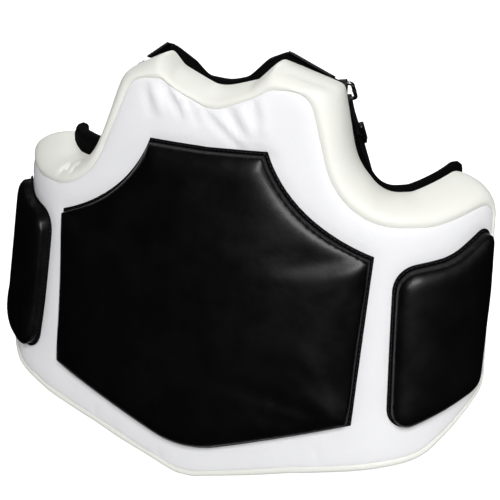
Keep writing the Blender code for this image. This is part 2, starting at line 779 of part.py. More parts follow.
def add_belt(name, frame, side, bar_x):
    """Half of the belt: looped on its ring, curved round to the back, looped on a buckle half."""
    upright = Vector((0.0, 0.0, 1.0))
    tilted = frame.col[2].to_3d() * side
    inner = LAYER / 2.0
    near = [(LOOP_SEWN, -inner * side), (WRAP_START, -inner * side)]
    near += arc(BAR_ROUND, -70 * side, -290 * side, 8)
    near.append((WRAP_START, inner * side))
    centres = [frame @ Vector((*p, 0.0)) for p in near]
    start = centres[-1]
    run_end = Vector((bar_x + side * BELT_RUN, BELT_Y - inner, BELT_Z))
    pull = start + frame.col[0].to_3d() * BELT_PULL
    run_pull = run_end + Vector((side * BELT_PULL, 0.0, 0.0))
    widths = [tilted] * len(centres)
    centres += belt_curve(start, pull, run_end, run_pull)
    widths += [tilted.lerp(upright, (k + 1) / BELT_STEPS) for k in range(BELT_STEPS)]
    far = [(WRAP_START, -inner)] + arc(BAR_ROUND, -70, -290, 8)
    far += [(WRAP_START, inner), (BELT_TAIL, inner)]
    centres += [Vector((bar_x + side * x, BELT_Y + y, BELT_Z)) for x, y in far]
    widths += [upright] * len(far)
    half = BELT_WIDTH / 2.0
    return add_ribbon(
        name,
        [centre - width * half for centre, width in zip(centres, widths)],
        [centre + width * half for centre, width in zip(centres, widths)],
    )


# ---------------------------------------------------------------- buckle

BUCKLE_HALF = 0.025       # half the buckle's height
HOUSING_MOUTH = 0.003     # x of the housing's open end
HOUSING_END = 0.033
HOUSING_HALF = 0.006      # half the housing's thickness
WALL = 0.0025
WINDOW_X = (0.014, 0.026)           # the openings at the sides that the prongs snap into
BAR_HALF = 0.0014         # half the thickness of the frames that hold the belt
ARM = 0.0042              # thickness of a frame's arms
INSERT_PLATE = (-0.044, -0.0288)
INSERT_HALF = 0.0025
GUIDE_TIP = -0.006
GUIDE_HALF = 0.004
PRONG_ROOT = Vector((-0.0262, BELT_Y, 0.0143))
PRONG_ROUND = 0.00225
PRONG_EDGE = (
    (0.016, -0.0006), (0.0235, 0.0), (0.0245, 0.0022), (0.0200, 0.0088), (0.0150, 0.0088), (0.0135, 0.0026)
)


def buckle_box(name, xs, half_y, zs, group=None):
    """A box of the buckle, centred on the belt's plane."""
    low = (min(xs), BELT_Y - half_y, BELT_Z + min(zs))
    high = (max(xs), BELT_Y + half_y, BELT_Z + max(zs))
    return box(name, low, high, group or CUTTERS)


def add_belt_bar(piece, bar_x, joined):
    """Add the open frame that carries a buckle's belt bar, from inside the piece out past the bar."""
    outward = math.copysign(1.0, bar_x - joined)
    end = bar_x + outward * BAR_HALF
    inside = BUCKLE_HALF - ARM
    reach = inside + MELD
    name = piece.name
    for k, zs in enumerate(((inside, BUCKLE_HALF - GAP), (GAP - BUCKLE_HALF, -inside))):
        arm = buckle_box(f"{name}_arm_{k}", (joined, end + outward * GAP), BAR_HALF + GAP, zs)
        combine(piece, arm, "UNION")
    bar = buckle_box(f"{name}_bar", (bar_x - outward * BAR_HALF, end), BAR_HALF, (-reach, reach))
    combine(piece, bar, "UNION")


def add_housing():
    """The socket half of the side-release buckle."""
    housing = buckle_box(
        "buckle_housing", (HOUSING_MOUTH, HOUSING_END), HOUSING_HALF, (-BUCKLE_HALF, BUCKLE_HALF), PARTS
    )
    housing.data.materials.append(PLASTIC)
    add_belt_bar(housing, HOUSING_BAR, HOUSING_END - WALL / 2.0)
    room = BUCKLE_HALF - ARM
    cavity = buckle_box(
        "housing_cavity", (HOUSING_MOUTH - WALL, HOUSING_END - WALL), HOUSING_HALF - WALL, (-room, room)
    )
    windows = buckle_box("housing_windows", WINDOW_X, HOUSING_HALF - WALL, (-2 * room, 2 * room))
    combine(housing, cavity, "DIFFERENCE")
    combine(housing, windows, "DIFFERENCE")
    return housing


def add_insert():
    """The plug half of the buckle: its plate, its belt bar and its middle guide."""
    insert = buckle_box("buckle_insert", INSERT_PLATE, INSERT_HALF, (-BUCKLE_HALF, BUCKLE_HALF), PARTS)
    insert.data.materials.append(PLASTIC)
    add_belt_bar(insert, INSERT_BAR, INSERT_PLATE[0] + WALL / 2.0)
    guide = buckle_box(
        "insert_guide", (INSERT_PLATE[1] - WALL, GUIDE_TIP), INSERT_HALF - GAP, (-GUIDE_HALF, GUIDE_HALF)
    )
    combine(insert, guide, "UNION")
    return insert


def add_prong(name, side):
    """One springy prong of the plug, on the axis it flexes about."""
    outline = arc(PRONG_ROUND, 90, 270, 6) + list(PRONG_EDGE)
    half = INSERT_HALF - GAP
    place = Vector((PRONG_ROOT.x, PRONG_ROOT.y, BELT_Z + side * PRONG_ROOT.z))
    frame = frame_at(place, Vector((1.0, 0.0, 0.0)), Vector((0.0, -side, 0.0)))
    shape = loft([[Vector((x, y, z)) for x, y in outline] for z in (-half, half)])
    bmesh.ops.recalc_face_normals(shape, faces=shape.faces[:])
    mesh = bpy.data.meshes.new(name)
    shape.to_mesh(mesh)
    shape.free()
    prong = add_mesh(name, mesh, PLASTIC)
    prong.matrix_world = frame
    return prong


# ---------------------------------------------------------------- assembly

FOLD_ENDS = (-0.190, 0.015)          # heights between which a wing's fold runs


def add_belt_half(word, side, wing_joint):
    """Anchor, ring and belt of one side, with the buckle half that the belt carries."""
    ring_frame, strap_frame = belt_frames(side)
    anchor = add_anchor("belt_anchor_" + word, side)
    ring = add_ring("belt_ring_" + word, ring_frame, BELT_WIDTH)
    bar_x = HOUSING_BAR if side > 0.0 else INSERT_BAR
    belt = add_belt("belt_strap_" + word, strap_frame, side, bar_x)
    ring_joint = joint_empty("belt_ring_joint_" + word, ring_frame)
    belt_joint = joint_empty("belt_strap_joint_" + word, strap_frame)
    buckle = add_housing() if side > 0.0 else add_insert()
    attach([anchor], wing_joint)
    attach([ring], ring_joint, wing_joint)
    attach([belt, buckle], belt_joint, ring_joint)
    return belt_joint


def wing_frame(side):
    """A frame on the fold's axis, which runs up the outer face."""
    low, high = (wrap(side * FOLD, z, 0.0) for z in FOLD_ENDS)
    return frame_at((low + high) / 2.0, Vector((0.0, 1.0, 0.0)), high - low)


FACE = face_loop()
BACK = back_loop()
LINED = lining_loop()

add_body()
add_pad("center_pad", "", pad_loop_center())
BELT_JOINTS = {}
for word, side in (("left", 1.0), ("right", -1.0)):
    wing = add_wing(word, side) + add_pad("side_pad", "_" + word, pad_loop_side(side))
    wing_joint = joint_empty("wing_joint_" + word, wing_frame(side))
    attach(wing, wing_joint)
    add_shoulder(word, side)
    BELT_JOINTS[word] = add_belt_half(word, side, wing_joint)

slide_frame = frame_at(
    Vector((BELT_SLIDER_X, BELT_Y - LAYER / 2.0, BELT_Z)), Vector((1.0, 0.0, 0.0)), Vector((0.0, 0.0, 1.0))
)
belt_slider = add_slider("belt_slider", slide_frame, BELT_WIDTH, PLASTIC)
attach([belt_slider], joint_empty("belt_slider_joint", slide_frame), BELT_JOINTS["left"])
for name, side in (("buckle_prong_upper", 1.0), ("buckle_prong_lower", -1.0)):
    prong = add_prong(name, side)
    attach([prong], joint_empty(name + "_joint", prong.matrix_world.copy()), BELT_JOINTS["right"])

# The protector's origin is the middle of the level stretch of its hem.
foot = wrap(0.0, HEM_LOW, -FOAM_BACK / 2.0)
for piece in bpy.data.objects:
    if piece.parent is None:
        piece.location -= foot
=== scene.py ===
"""Looks of the chest protector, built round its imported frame."""

import json
import math

import bpy
import numpy as np
from mathutils import Matrix, Vector
from mathutils.geometry import delaunay_2d_cdt


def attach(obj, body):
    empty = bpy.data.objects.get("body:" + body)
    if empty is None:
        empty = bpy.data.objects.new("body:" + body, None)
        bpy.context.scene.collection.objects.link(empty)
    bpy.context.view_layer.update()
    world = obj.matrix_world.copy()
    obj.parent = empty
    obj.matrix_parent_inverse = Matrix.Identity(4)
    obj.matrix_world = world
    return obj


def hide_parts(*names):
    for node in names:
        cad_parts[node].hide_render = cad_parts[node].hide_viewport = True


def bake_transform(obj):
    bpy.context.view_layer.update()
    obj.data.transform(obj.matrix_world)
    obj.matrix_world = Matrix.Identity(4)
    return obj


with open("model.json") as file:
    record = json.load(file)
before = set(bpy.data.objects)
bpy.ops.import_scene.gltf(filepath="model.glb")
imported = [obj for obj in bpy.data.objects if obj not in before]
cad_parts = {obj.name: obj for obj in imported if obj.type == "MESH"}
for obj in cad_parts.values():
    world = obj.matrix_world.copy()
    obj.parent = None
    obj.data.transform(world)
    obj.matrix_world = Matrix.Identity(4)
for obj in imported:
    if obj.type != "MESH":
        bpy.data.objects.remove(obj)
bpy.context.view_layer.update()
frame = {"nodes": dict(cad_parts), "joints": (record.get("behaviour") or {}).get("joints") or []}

# ---- the chest's curve, as in the frame

FRONT_RADIUS = 0.835
FRONT_HALF = 0.142        # arc lengths where the front ends and the rear begins
BEND_RADIUS = 0.131
BEND_END = 0.270
REAR_RADIUS = 0.50
TAPER = (-0.185, 0.75)    # width and lean change with height, by its first and second power
LEAN = (0.175, -0.25)
FOAM_BACK = 0.040         # depths behind the face
LINING_BACK = 0.054
FOLD = 0.164              # arc length where the wings fold
WEB = 0.0018              # thickness of webbing
GAP = 0.0003
ORIGIN = np.array((0.0, 0.03355, 0.23))   # from the hem's middle to the chest curve's own origin
FOOT_WEAR = 0.0045        # how far wear has pushed out the foot of the right wing


def section(s):
    """Place and direction of the outer face at arc lengths s, on the level z = 0: three arcs."""
    a = np.minimum(s, FRONT_HALF) / FRONT_RADIUS
    b = a + np.clip(s - FRONT_HALF, 0.0, BEND_END - FRONT_HALF) / BEND_RADIUS
    c = b + np.maximum(s - BEND_END, 0.0) / REAR_RADIUS
    x, y, before = 0.0, 0.0, np.zeros_like(a)
    for radius, turn in ((FRONT_RADIUS, a), (BEND_RADIUS, b), (REAR_RADIUS, c)):
        x = x + radius * (np.sin(turn) - np.sin(before))
        y = y + radius * (np.cos(before) - np.cos(turn))
        before = turn
    return x, y, c


def share(value):
    """A value held between 0 and 1."""
    return np.clip(value, 0.0, 1.0)


def ease(part):
    """A smooth step from 0 to 1."""
    part = share(part)
    return part * part * (3.0 - 2.0 * part)


def wrap(flat):
    """World places of flat points: s round the chest, z up it and t out of it."""
    s, z, t = np.asarray(flat, float).T
    t = t + FOOT_WEAR * ease((-s - 0.160) / 0.060) * ease((-z - 0.110) / 0.035)
    x, y, angle = section(np.abs(s))
    width = 1.0 + TAPER[0] * z + TAPER[1] * z * z
    lean = LEAN[0] * z + LEAN[1] * z * z
    side = np.where(s < 0.0, -1.0, 1.0)
    x = side * (x * width + t * np.sin(angle))
    return np.column_stack((x, y + lean - t * np.cos(angle), z)) + ORIGIN


# ---- flat outlines

REAR = 0.272              # rear edge of the wings
HEM_LOW = -0.2300
SEAM_RISE = (0.0045, 0.0078, 0.0070, 0.0058)   # the face's seam over the hem's lowest edge
# Corners are (s, z, radius, steps of the rounding). The left and the right are the wearer's; the
# right shoulder and wing are worn softer and lower.
HEM = {
    "left": [
        (REAR, -0.1360, 0.022, 8), (0.2045, -0.1875, 0.05, 6),
        (0.093, -0.2092, 0.10, 6), (0.008, HEM_LOW, 0.02, 4),
    ],
    "right": [
        (REAR, -0.1340, 0.022, 8), (0.2015, -0.1825, 0.05, 6),
        (0.093, -0.2065, 0.10, 6), (0.008, HEM_LOW, 0.02, 4),
    ],
}
HEM_SEAM = {
    word: [(s, z + rise, r, n) for (s, z, r, n), rise in zip(hem, SEAM_RISE)]
    for word, hem in HEM.items()
}
FACE_TOP = {
    "left": [
        (0.0, 0.1000, 0.0, 0), (0.010, 0.1035, 0.020, 4), (0.040, 0.1145, 0.020, 4),
        (0.055, 0.1232, 0.012, 6), (0.0905, 0.1235, 0.022, 8), (0.1225, 0.0160, 0.068, 18),
        (0.205, 0.0150, 0.080, 6), (REAR, 0.0310, 0.016, 8),
    ],
    "right": [
        (0.0, 0.1000, 0.0, 0), (0.008, 0.1048, 0.010, 4), (0.030, 0.1140, 0.020, 4),
        (0.050, 0.1240, 0.012, 6), (0.080, 0.1230, 0.022, 8), (0.1315, 0.0125, 0.064, 18),
        (0.205, 0.0125, 0.080, 6), (REAR, 0.0215, 0.012, 8),
    ],
}
BACK_TOP = {
    "left": [
        (0.0, 0.1135, 0.0, 0), (0.010, 0.1158, 0.020, 4), (0.035, 0.1225, 0.010, 4),
        (0.0545, 0.1408, 0.005, 6), (0.1125, 0.1228, 0.008, 8), (0.135, 0.0320, 0.055, 18),
        (0.197, 0.0320, 0.040, 6), (0.275, 0.0490, 0.014, 8),
    ],
    "right": [
        (0.0, 0.1135, 0.0, 0), (0.012, 0.1137, 0.020, 4), (0.048, 0.1280, 0.010, 4),
        (0.061, 0.1405, 0.005, 6), (0.101, 0.1235, 0.020, 8), (0.139, 0.0290, 0.055, 18),
        (0.197, 0.0290, 0.040, 6), (0.275, 0.0400, 0.010, 8),
    ],
}
LINING_TOP = {
    "left": [
        (0.0, 0.1183, 0.0, 0), (0.018, 0.1225, 0.012, 4), (0.037, 0.1395, 0.012, 4),
        (0.0555, 0.1465, 0.003, 4), (0.1090, 0.1235, 0.012, 6), (0.1435, 0.0365, 0.045, 16),
        (0.197, 0.0375, 0.040, 6), (0.280, 0.0530, 0.005, 4),
    ],
    "right": [
        (0.0, 0.1183, 0.0, 0), (0.026, 0.1205, 0.012, 4), (0.040, 0.1320, 0.015, 4),
        (0.066, 0.1455, 0.005, 4), (0.107, 0.1205, 0.024, 6), (0.139, 0.0480, 0.040, 16),
        (0.200, 0.0490, 0.040, 6), (0.280, 0.0462, 0.006, 4),
    ],
}
LINING_LOW = {
    word: [(0.280, hem[0][1] + 0.001, 0.022, 8), *hem[1:]] for word, hem in HEM.items()
}


def fillet(before, corner, after, radius, steps):
    """Points of the arc that rounds a corner."""
    into = (before - corner) / np.linalg.norm(before - corner)
    out = (after - corner) / np.linalg.norm(after - corner)
    half = math.acos(np.clip(into @ out, -1, 1)) / 2.0
    middle = (into + out) / np.linalg.norm(into + out)
    centre = corner + middle * (radius / math.sin(half))
    reach = radius / math.tan(half)
    first, last = corner + into * reach - centre, corner + out * reach - centre
    whole = math.pi - 2.0 * half
    parts = np.linspace(0.0, 1.0, steps + 1)[:, None]
    spread = first * np.sin((1 - parts) * whole) + last * np.sin(parts * whole)
    return centre + spread / math.sin(whole)


def matched(outlines, ends, spacing):
    """Several half outlines with matching corners, cut alike into short steps."""
    counts, results = None, []
    for corners, end in zip(outlines, ends):
        places = [np.array(c[:2]) for c in corners] + [np.array(end)]
        arcs = [places[0][None]]
        for k in range(1, len(corners)):
            arcs.append(fillet(places[k - 1], places[k], places[k + 1], *corners[k][2:]))
        arcs.append(places[-1][None])
        if counts is None:
            gaps = [float(np.linalg.norm(b[0] - a[-1])) for a, b in zip(arcs, arcs[1:])]
            counts = [max(1, round(gap / spacing)) for gap in gaps]
        points = [arcs[0]]
        for a, b, n in zip(arcs, arcs[1:], counts):
            parts = np.linspace(0.0, 1.0, n + 1)[1:-1, None]
            points += [a[-1] + (b[0] - a[-1]) * parts, b]
        results.append(np.vstack(points))
    return results


def full_loop(left, right):
    """The closed loop of a left half and a right half's mirror image, clockwise from the top."""
    return np.vstack((left, right[::-1][1:-1] * (-1.0, 1.0)))


def unit(rows):
    """Each row scaled to length 1."""
    return rows / np.linalg.norm(rows, axis=1)[:, None]


def at_height(points, t):
    """Flat points (s, z) with a height over the face."""
    return np.column_stack((points, np.full(len(points), t)))


def outward(loop):
    """Unit normals that point out of a clockwise closed loop."""
    along = unit(np.roll(loop, -1, 0) - np.roll(loop, 1, 0))
    return np.column_stack((-along[:, 1], along[:, 0]))


def smooth_loop(values, rounds):
    """Values round a closed loop, averaged with their neighbours."""
    for _ in range(rounds):
        values = (np.roll(values, 1, 0) + 2.0 * values + np.roll(values, -1, 0)) / 4.0
    return values


def soften_neck(loop):
    """A closed loop whose dip under the chin is rounded."""
    dip = np.exp(-((loop[:, :1] / 0.016) ** 2)) * (loop[:, 1:] > 0.0)
    return loop + (smooth_loop(loop, 24) - loop) * dip


def distance(points, loop):
    """Distance of flat points from a closed polyline."""
    best = np.full(len(points), 1e9)
    for a, b in zip(loop, np.roll(loop, -1, 0)):
        d = b - a
        part = share((points - a) @ d / (d @ d))
        gap = points - (a + part[:, None] * d)
        best = np.minimum(best, np.einsum("ij,ij->i", gap, gap))
    return np.sqrt(best)


def inside(points, loop):
    """Whether flat points lie inside a closed polyline."""
    count = np.zeros(len(points), int)
    x, y = points.T
    for a, b in zip(loop, np.roll(loop, -1, 0)):
        if a[1] == b[1]:
            continue
        crosses = (y >= min(a[1], b[1])) & (y < max(a[1], b[1]))
        count += crosses & (x < a[0] + (y - a[1]) / (b[1] - a[1]) * (b[0] - a[0]))
    return count % 2 == 1


def fill(loop, spacing, rings):
    """Points and triangles that fill a closed loop, with rings of points at distances inside it.
    The loop's own points come first, in order."""
    normal = outward(loop)
    points = [loop]
    for ring in rings:
        row = loop - normal * ring
        keep = inside(row, loop) & (distance(row, loop) > 0.93 * ring)
        points.append(row[keep])
    low, high = loop.min(0), loop.max(0)
    rows = []
    step = spacing * math.sqrt(0.75)
    for k in range(-int(-low[1] / step) - 1, int(high[1] / step) + 2):
        offset = spacing / 2.0 if k % 2 else 0.0
        columns = np.arange(-math.ceil(-low[0] / spacing), math.ceil(high[0] / spacing) + 1)
        rows.append(at_height(columns * spacing + offset, k * step))
    grid = np.vstack(rows)
    grid = grid[inside(grid, loop)]
    grid = grid[distance(grid, loop) > (rings[-1] if rings else 0.0) + 0.6 * spacing]
    points = np.vstack(points + [grid])
    count = len(loop)
    edges = [(k, (k + 1) % count) for k in range(count)]
    made = delaunay_2d_cdt([Vector(p) for p in points], edges, [], 1, 1e-7)
    return np.array([tuple(p) for p in made[0]]), np.array([tuple(f) for f in made[2]])


# ---- mesh pieces


def face_normals(points, faces):
    """Unnormalised normals of faces, each at least a triangle."""
    corners = [points[[f[k] for f in faces]] for k in range(3)]
    first = np.cross(corners[1] - corners[0], corners[2] - corners[0])
    if len(faces[0]) == 4:
        last = points[[f[3] for f in faces]]
        first = first + np.cross(corners[2] - corners[0], last - corners[0])
    return first


def vertex_normals(points, faces):
    """Unit normals of points, weighted by the size of their faces."""
    total = np.zeros_like(points)
    normals = face_normals(points, faces)
    for k in range(len(faces[0])):
        np.add.at(total, [f[k] for f in faces], normals)
    return total / np.maximum(np.linalg.norm(total, axis=1), 1e-12)[:, None]


def link(name, data):
    """A new object in the scene."""
    made = bpy.data.objects.new(name, data)
    bpy.context.scene.collection.objects.link(made)
    return made


def add_mesh(name, points, faces, finish, sharp=50.0):
    """A smooth-shaded mesh with one finish, sharp where its faces turn by more than an angle."""
    mesh = bpy.data.meshes.new(name)
    mesh.from_pydata([tuple(p) for p in points], [], [tuple(int(i) for i in f) for f in faces])
    mesh.polygons.foreach_set("use_smooth", [True] * len(mesh.polygons))
    mesh.set_sharp_from_angle(angle=math.radians(sharp))
    mesh.materials.append(finish)
    return link(name, mesh)


def tube(rows, count, closed=False):
    """Faces of a tube: rows of points, each running round once; closed joins the last to the first."""
    faces = []
    for k in range(rows if closed else rows - 1):
        a, b = k * count, (k + 1) % rows * count
        faces += [(a + j, b + j, b + (j + 1) % count, a + (j + 1) % count) for j in range(count)]
    return faces


def rims(faces):
    """Directed edges that only one face has."""
    edges = {}
    for f in faces:
        for a, b in zip(f, (*f[1:], f[0])):
            edges[(int(a), int(b))] = True
    return [e for e in edges if (e[1], e[0]) not in edges]


def keep_normals(mesh, normals, faces):
    """Give a mesh's first faces the normals of their points; zeros leave the rest as they are."""
    index = np.array([loop.vertex_index for loop in mesh.loops])
    kept = np.zeros((len(index), 3))
    size = sum(len(f) for f in faces)
    kept[:size] = normals[index[:size]]
    mesh.normals_split_custom_set([tuple(n) for n in kept])


def add_skin(name, points, faces, normals, finish):
    """A closed skin: an outer surface, the same surface a little below it, and the rim between them.
    The outer surface keeps the normals that it's given, so that neighbouring skins shade as one."""
    count = len(points)
    faces = [tuple(int(i) for i in f) for f in faces]
    both = np.vstack((points, points - normals * SKIN))
    rim = [(b, a, a + count, b + count) for a, b in rims(faces)]
    inner = [tuple(i + count for i in f[::-1]) for f in faces]
    piece = add_mesh(name, both, faces + inner + rim, finish)
    keep_normals(piece.data, normals, faces)
    return piece


def pick(points, faces, keep):
    """The part of a mesh whose faces are kept, and the kept points' old numbers."""
    chosen = [f for f, k in zip(faces, keep) if k]
    used = sorted({int(i) for f in chosen for i in f})
    place = {old: new for new, old in enumerate(used)}
    return points[used], [tuple(place[int(i)] for i in f) for f in chosen], used


def settle(piece, body, slot, *nodes):
    """Fix a piece to a body, in place of nodes; the slot is not used."""
    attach(piece, body)
    if nodes:
        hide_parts(*nodes)


SIDES = (("left", 1.0), ("right", -1.0))


def joint(name):
    """A joint of the frame."""
    return next(j for j in frame["joints"] if j["name"] == name)


def across_fold(piece, word, before=0.010, after=0.012):
    """Bake a piece's placing into its mesh; the fold's axis and the way across it are found but not
    used to bend it.
    """
    fold = joint("wing_fold_" + word)
    side = 1.0 if word == "left" else -1.0
    ends = wrap([(side * (FOLD - before), 0.0, 0.0), (side * (FOLD + after), 0.0, 0.0)])
    axis = Vector(fold["axis"]).normalized()
    along = Vector(ends[1] - ends[0])
    along -= axis * along.dot(axis)
    along.normalize()
    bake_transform(piece)


def halves_of(points, faces, flat_s):
    """For each side, its word and the half of a mesh that lies there, as pick gives it."""
    on_left = np.array([flat_s[list(f)].mean() > -1e-9 for f in faces])
    for word, side in SIDES:
        yield word, *pick(points, faces, on_left if side > 0 else ~on_left)


def add_halves(name, points, faces, flat_s, finish):
    """A skin across the whole body, as two halves."""
    normals = vertex_normals(points, faces)
    pieces = []
    for word, part, chosen, used in halves_of(points, faces, flat_s):
        piece = add_skin(f"{name}_{word}", part, chosen, normals[used], finish)
        across_fold(piece, word)
        pieces.append(piece)
    return pieces


# ---- finishes


class Finish:
    """Builds one procedural material, node by node."""

    def __init__(self, name):
        self.material = bpy.data.materials.new(name)
        self.material.use_nodes = True
        self.tree = self.material.node_tree
        self.shader = self.tree.nodes["Principled BSDF"]
        self.place = self.node("ShaderNodeTexCoord").outputs["Object"]

    def node(self, kind, inputs=None, **settings):
        made = self.tree.nodes.new(kind)
        for key, value in settings.items():
            setattr(made, key, value)
        for key, value in (inputs or {}).items():
            self.put(made.inputs[key], value)
        return made

    def put(self, socket, value):
        if isinstance(value, bpy.types.NodeSocket):
            self.tree.links.new(value, socket)
        else:
            socket.default_value = value

    def set(self, **values):
        for key, value in values.items():
            self.put(self.shader.inputs[key.replace("_", " ")], value)

    def noise(self, scale, detail=3.0, rough=0.5, stretch=None):
        place = self.place
        if stretch:
            place = self.node("ShaderNodeMapping", {"Vector": place, "Scale": stretch}).outputs[0]
        keys = {"Vector": place, "Scale": scale, "Detail": detail, "Roughness": rough}
        return self.node("ShaderNodeTexNoise", keys).outputs[0]

    def cells(self, scale, feature):
        keys = {"Vector": self.place, "Scale": scale}
        return self.node("ShaderNodeTexVoronoi", keys, feature=feature).outputs["Distance"]

    def maths(self, operation, a, b=0.0):
        return self.node("ShaderNodeMath", {0: a, 1: b}, operation=operation).outputs[0]

    def plus(self, a, b, times=1.0):
        """The sum of a and b times a number."""
        return self.maths("ADD", a, self.maths("MULTIPLY", b, times))

    def patches(self, value, low, high, dark, light):
        """Two tones, blended where a value runs from low to high."""
        return self.mix(self.span(value, 0.0, 1.0, low, high), dark, light)

    def span(self, value, low, high, from_low=0.0, from_high=1.0):
        keys = {"Value": value, "From Min": from_low, "From Max": from_high}
        return self.node("ShaderNodeMapRange", {**keys, "To Min": low, "To Max": high}).outputs[0]

    def mix(self, factor, a, b):
        made = self.node("ShaderNodeMix", data_type="RGBA")
        self.put(made.inputs[0], factor)
        self.put(made.inputs[6], (*a, 1.0) if isinstance(a, tuple) else a)
        self.put(made.inputs[7], (*b, 1.0) if isinstance(b, tuple) else b)
        return made.outputs[2]

    def bump(self, height, distance, strength=1.0, under=None):
        keys = {"Height": height, "Distance": distance, "Strength": strength}
        if under:
            keys["Normal"] = under
        return self.node("ShaderNodeBump", keys).outputs[0]


def vinyl(name, light, dark, rough, grain, coat, shine):
    """Coated fabric: a fine pebbled grain, patchy gloss and slight handling marks."""
    f = Finish(name)
    tone = f.patches(f.noise(9.0, 4.0, 0.6), 0.35, 0.7, dark, light)
    pebbles = f.cells(1500.0, "SMOOTH_F1")
    creases = f.noise(700.0, 4.0, 0.6)
    fine = f.bump(f.plus(pebbles, creases, 0.7), grain, 0.5)
    soft = f.bump(f.noise(60.0, 2.0, 0.5), 0.0012, 0.25, fine)
    gloss = f.span(f.noise(35.0, 4.0, 0.6), rough * 0.85, rough * 1.2, 0.3, 0.7)
    f.set(Base_Color=tone, Roughness=gloss, Normal=soft, Coat_Weight=coat, Coat_Roughness=rough * 0.6)
    f.set(Specular_IOR_Level=shine)
    return f.material


def woven(name, light, dark, pitch, rough):
    """Ribbed webbing: crossing yarns with a soft sheen."""
    f = Finish(name)
    steps = f.node("ShaderNodeAttribute", attribute_name="weave").outputs["Vector"]
    split = f.node("ShaderNodeSeparateXYZ", {"Vector": steps})
    along = f.maths("MULTIPLY", split.outputs[0], math.tau / pitch)
    across = f.maths("MULTIPLY", split.outputs[1], math.tau / (1.6 * pitch))
    weave = f.plus(f.maths("SINE", along), f.maths("SINE", across), 0.7)
    height = f.plus(f.span(weave, 0.0, 1.0, -1.7, 1.7), f.noise(2600.0, 3.0, 0.7), 0.3)
    tone = f.patches(weave, -1.7, 1.7, dark, light)
    f.set(Base_Color=tone, Roughness=rough, Normal=f.bump(height, 0.0005, 0.9))
    f.set(Specular_IOR_Level=0.25)
    return f.material


def knitted(name, light, dark):
    """Padded lining: a close matt knit with a soft sheen."""
    f = Finish(name)
    grid = f.node("ShaderNodeMapping", {"Vector": f.place, "Scale": (620.0, 620.0, 480.0)}).outputs[0]
    split = f.node("ShaderNodeSeparateXYZ", {"Vector": grid})
    wales = f.maths("ADD", split.outputs[0], split.outputs[1])
    courses = f.maths("MULTIPLY", split.outputs[2], 2.0)
    loops = f.maths("MULTIPLY", f.maths("SINE", wales), f.maths("SINE", courses))
    height = f.plus(f.span(loops, 0.0, 1.0, -1.0, 1.0), f.noise(1800.0, 4.0, 0.7), 0.6)
    tone = f.patches(f.noise(14.0, 5.0, 0.6), 0.35, 0.75, dark, light)
    f.set(Base_Color=tone, Roughness=0.85, Normal=f.bump(height, 0.0006, 0.7))
    f.set(Specular_IOR_Level=0.03)
    return f.material


def plated(name, tone, rough):
    """Plated wire: faint drawing marks and dull patches."""
    f = Finish(name)
    marks = f.noise(420.0, 5.0, 0.7, (1.0, 1.0, 6.0))
    patches = f.noise(120.0, 4.0, 0.6)
    colour = f.patches(patches, 0.35, 0.75, tone, tuple(c * 0.72 for c in tone))
    dulled = f.span(patches, rough, rough + 0.12, 0.3, 0.7)
    gloss = f.maths("ADD", f.span(marks, -0.06, 0.08, 0.3, 0.7), dulled)
    f.set(Base_Color=colour, Metallic=1.0, Roughness=gloss, Normal=f.bump(marks, 0.0001, 0.3))
    return f.material


def moulded(name, light, dark, rough):
    """Moulded plastic: a fine spark-eroded texture with scuffs."""
    f = Finish(name)
    scuffs = f.noise(160.0, 5.0, 0.7)
    tone = f.patches(scuffs, 0.45, 0.75, dark, light)
    gloss = f.span(scuffs, rough, rough + 0.15, 0.3, 0.7)
    f.set(Base_Color=tone, Roughness=gloss, Normal=f.bump(f.noise(2400.0, 2.0, 0.6), 0.0002, 0.35))
    return f.material


def thread(name, tone):
    """Twisted sewing thread."""
    f = Finish(name)
    twist = f.noise(3000.0, 2.0, 0.5)
    colour = f.mix(twist, tone, tuple(c * 0.6 for c in tone))
    f.set(Base_Color=colour, Roughness=0.6, Normal=f.bump(twist, 0.0002, 0.6))
    return f.material


INK = ((0.0020, 0.0020, 0.0022), (0.0012, 0.0012, 0.0013))
WHITE = vinyl("white_vinyl", (0.88, 0.88, 0.895), (0.85, 0.85, 0.87), 0.40, 0.00025, 0.03, 0.25)
CREAM = vinyl("cream_vinyl", (0.87, 0.87, 0.82), (0.83, 0.83, 0.775), 0.48, 0.0003, 0.02, 0.25)
BLACK = vinyl("black_vinyl", *INK, 0.36, 0.00012, 0.12, 0.18)
EDGING = vinyl("black_edging", *INK, 0.62, 0.00012, 0.0, 0.05)
LINER = knitted("lining_fabric", (0.0022, 0.0022, 0.0024), (0.0014, 0.0014, 0.0015))
WEBBING = woven("webbing", (0.014, 0.014, 0.015), (0.002, 0.002, 0.0022), 0.0016, 0.65)
STEEL = plated("steel", (0.26, 0.26, 0.27), 0.20)
PLASTIC = moulded("black_plastic", (0.022, 0.022, 0.024), (0.008, 0.008, 0.009), 0.38)
BLACK_THREAD = thread("black_thread", (0.006, 0.006, 0.0065))

# ---- body skin and band

STEP = 0.0032             # spacing of points along outlines
BAND_STEPS = 14
SEAM_DEPTH = 0.0009       # a seam's groove
SEAM_REACH = 0.0016
SEAM_SINK = 0.0016        # how far the soft foam lets the seam sink in
SKIN = 0.001              # thickness of the coated fabric

SEAM_LOW = (0.0, -0.2242)
HALVES = {
    word: matched(
        (FACE_TOP[word] + HEM_SEAM[word], BACK_TOP[word] + HEM[word]), (SEAM_LOW, (0.0, HEM_LOW)), STEP
    )
    for word, _ in SIDES
}
FACE = soften_neck(smooth_loop(full_loop(HALVES["left"][0], HALVES["right"][0]), 3))
BACK = smooth_loop(full_loop(HALVES["left"][1], HALVES["right"][1]), 5)


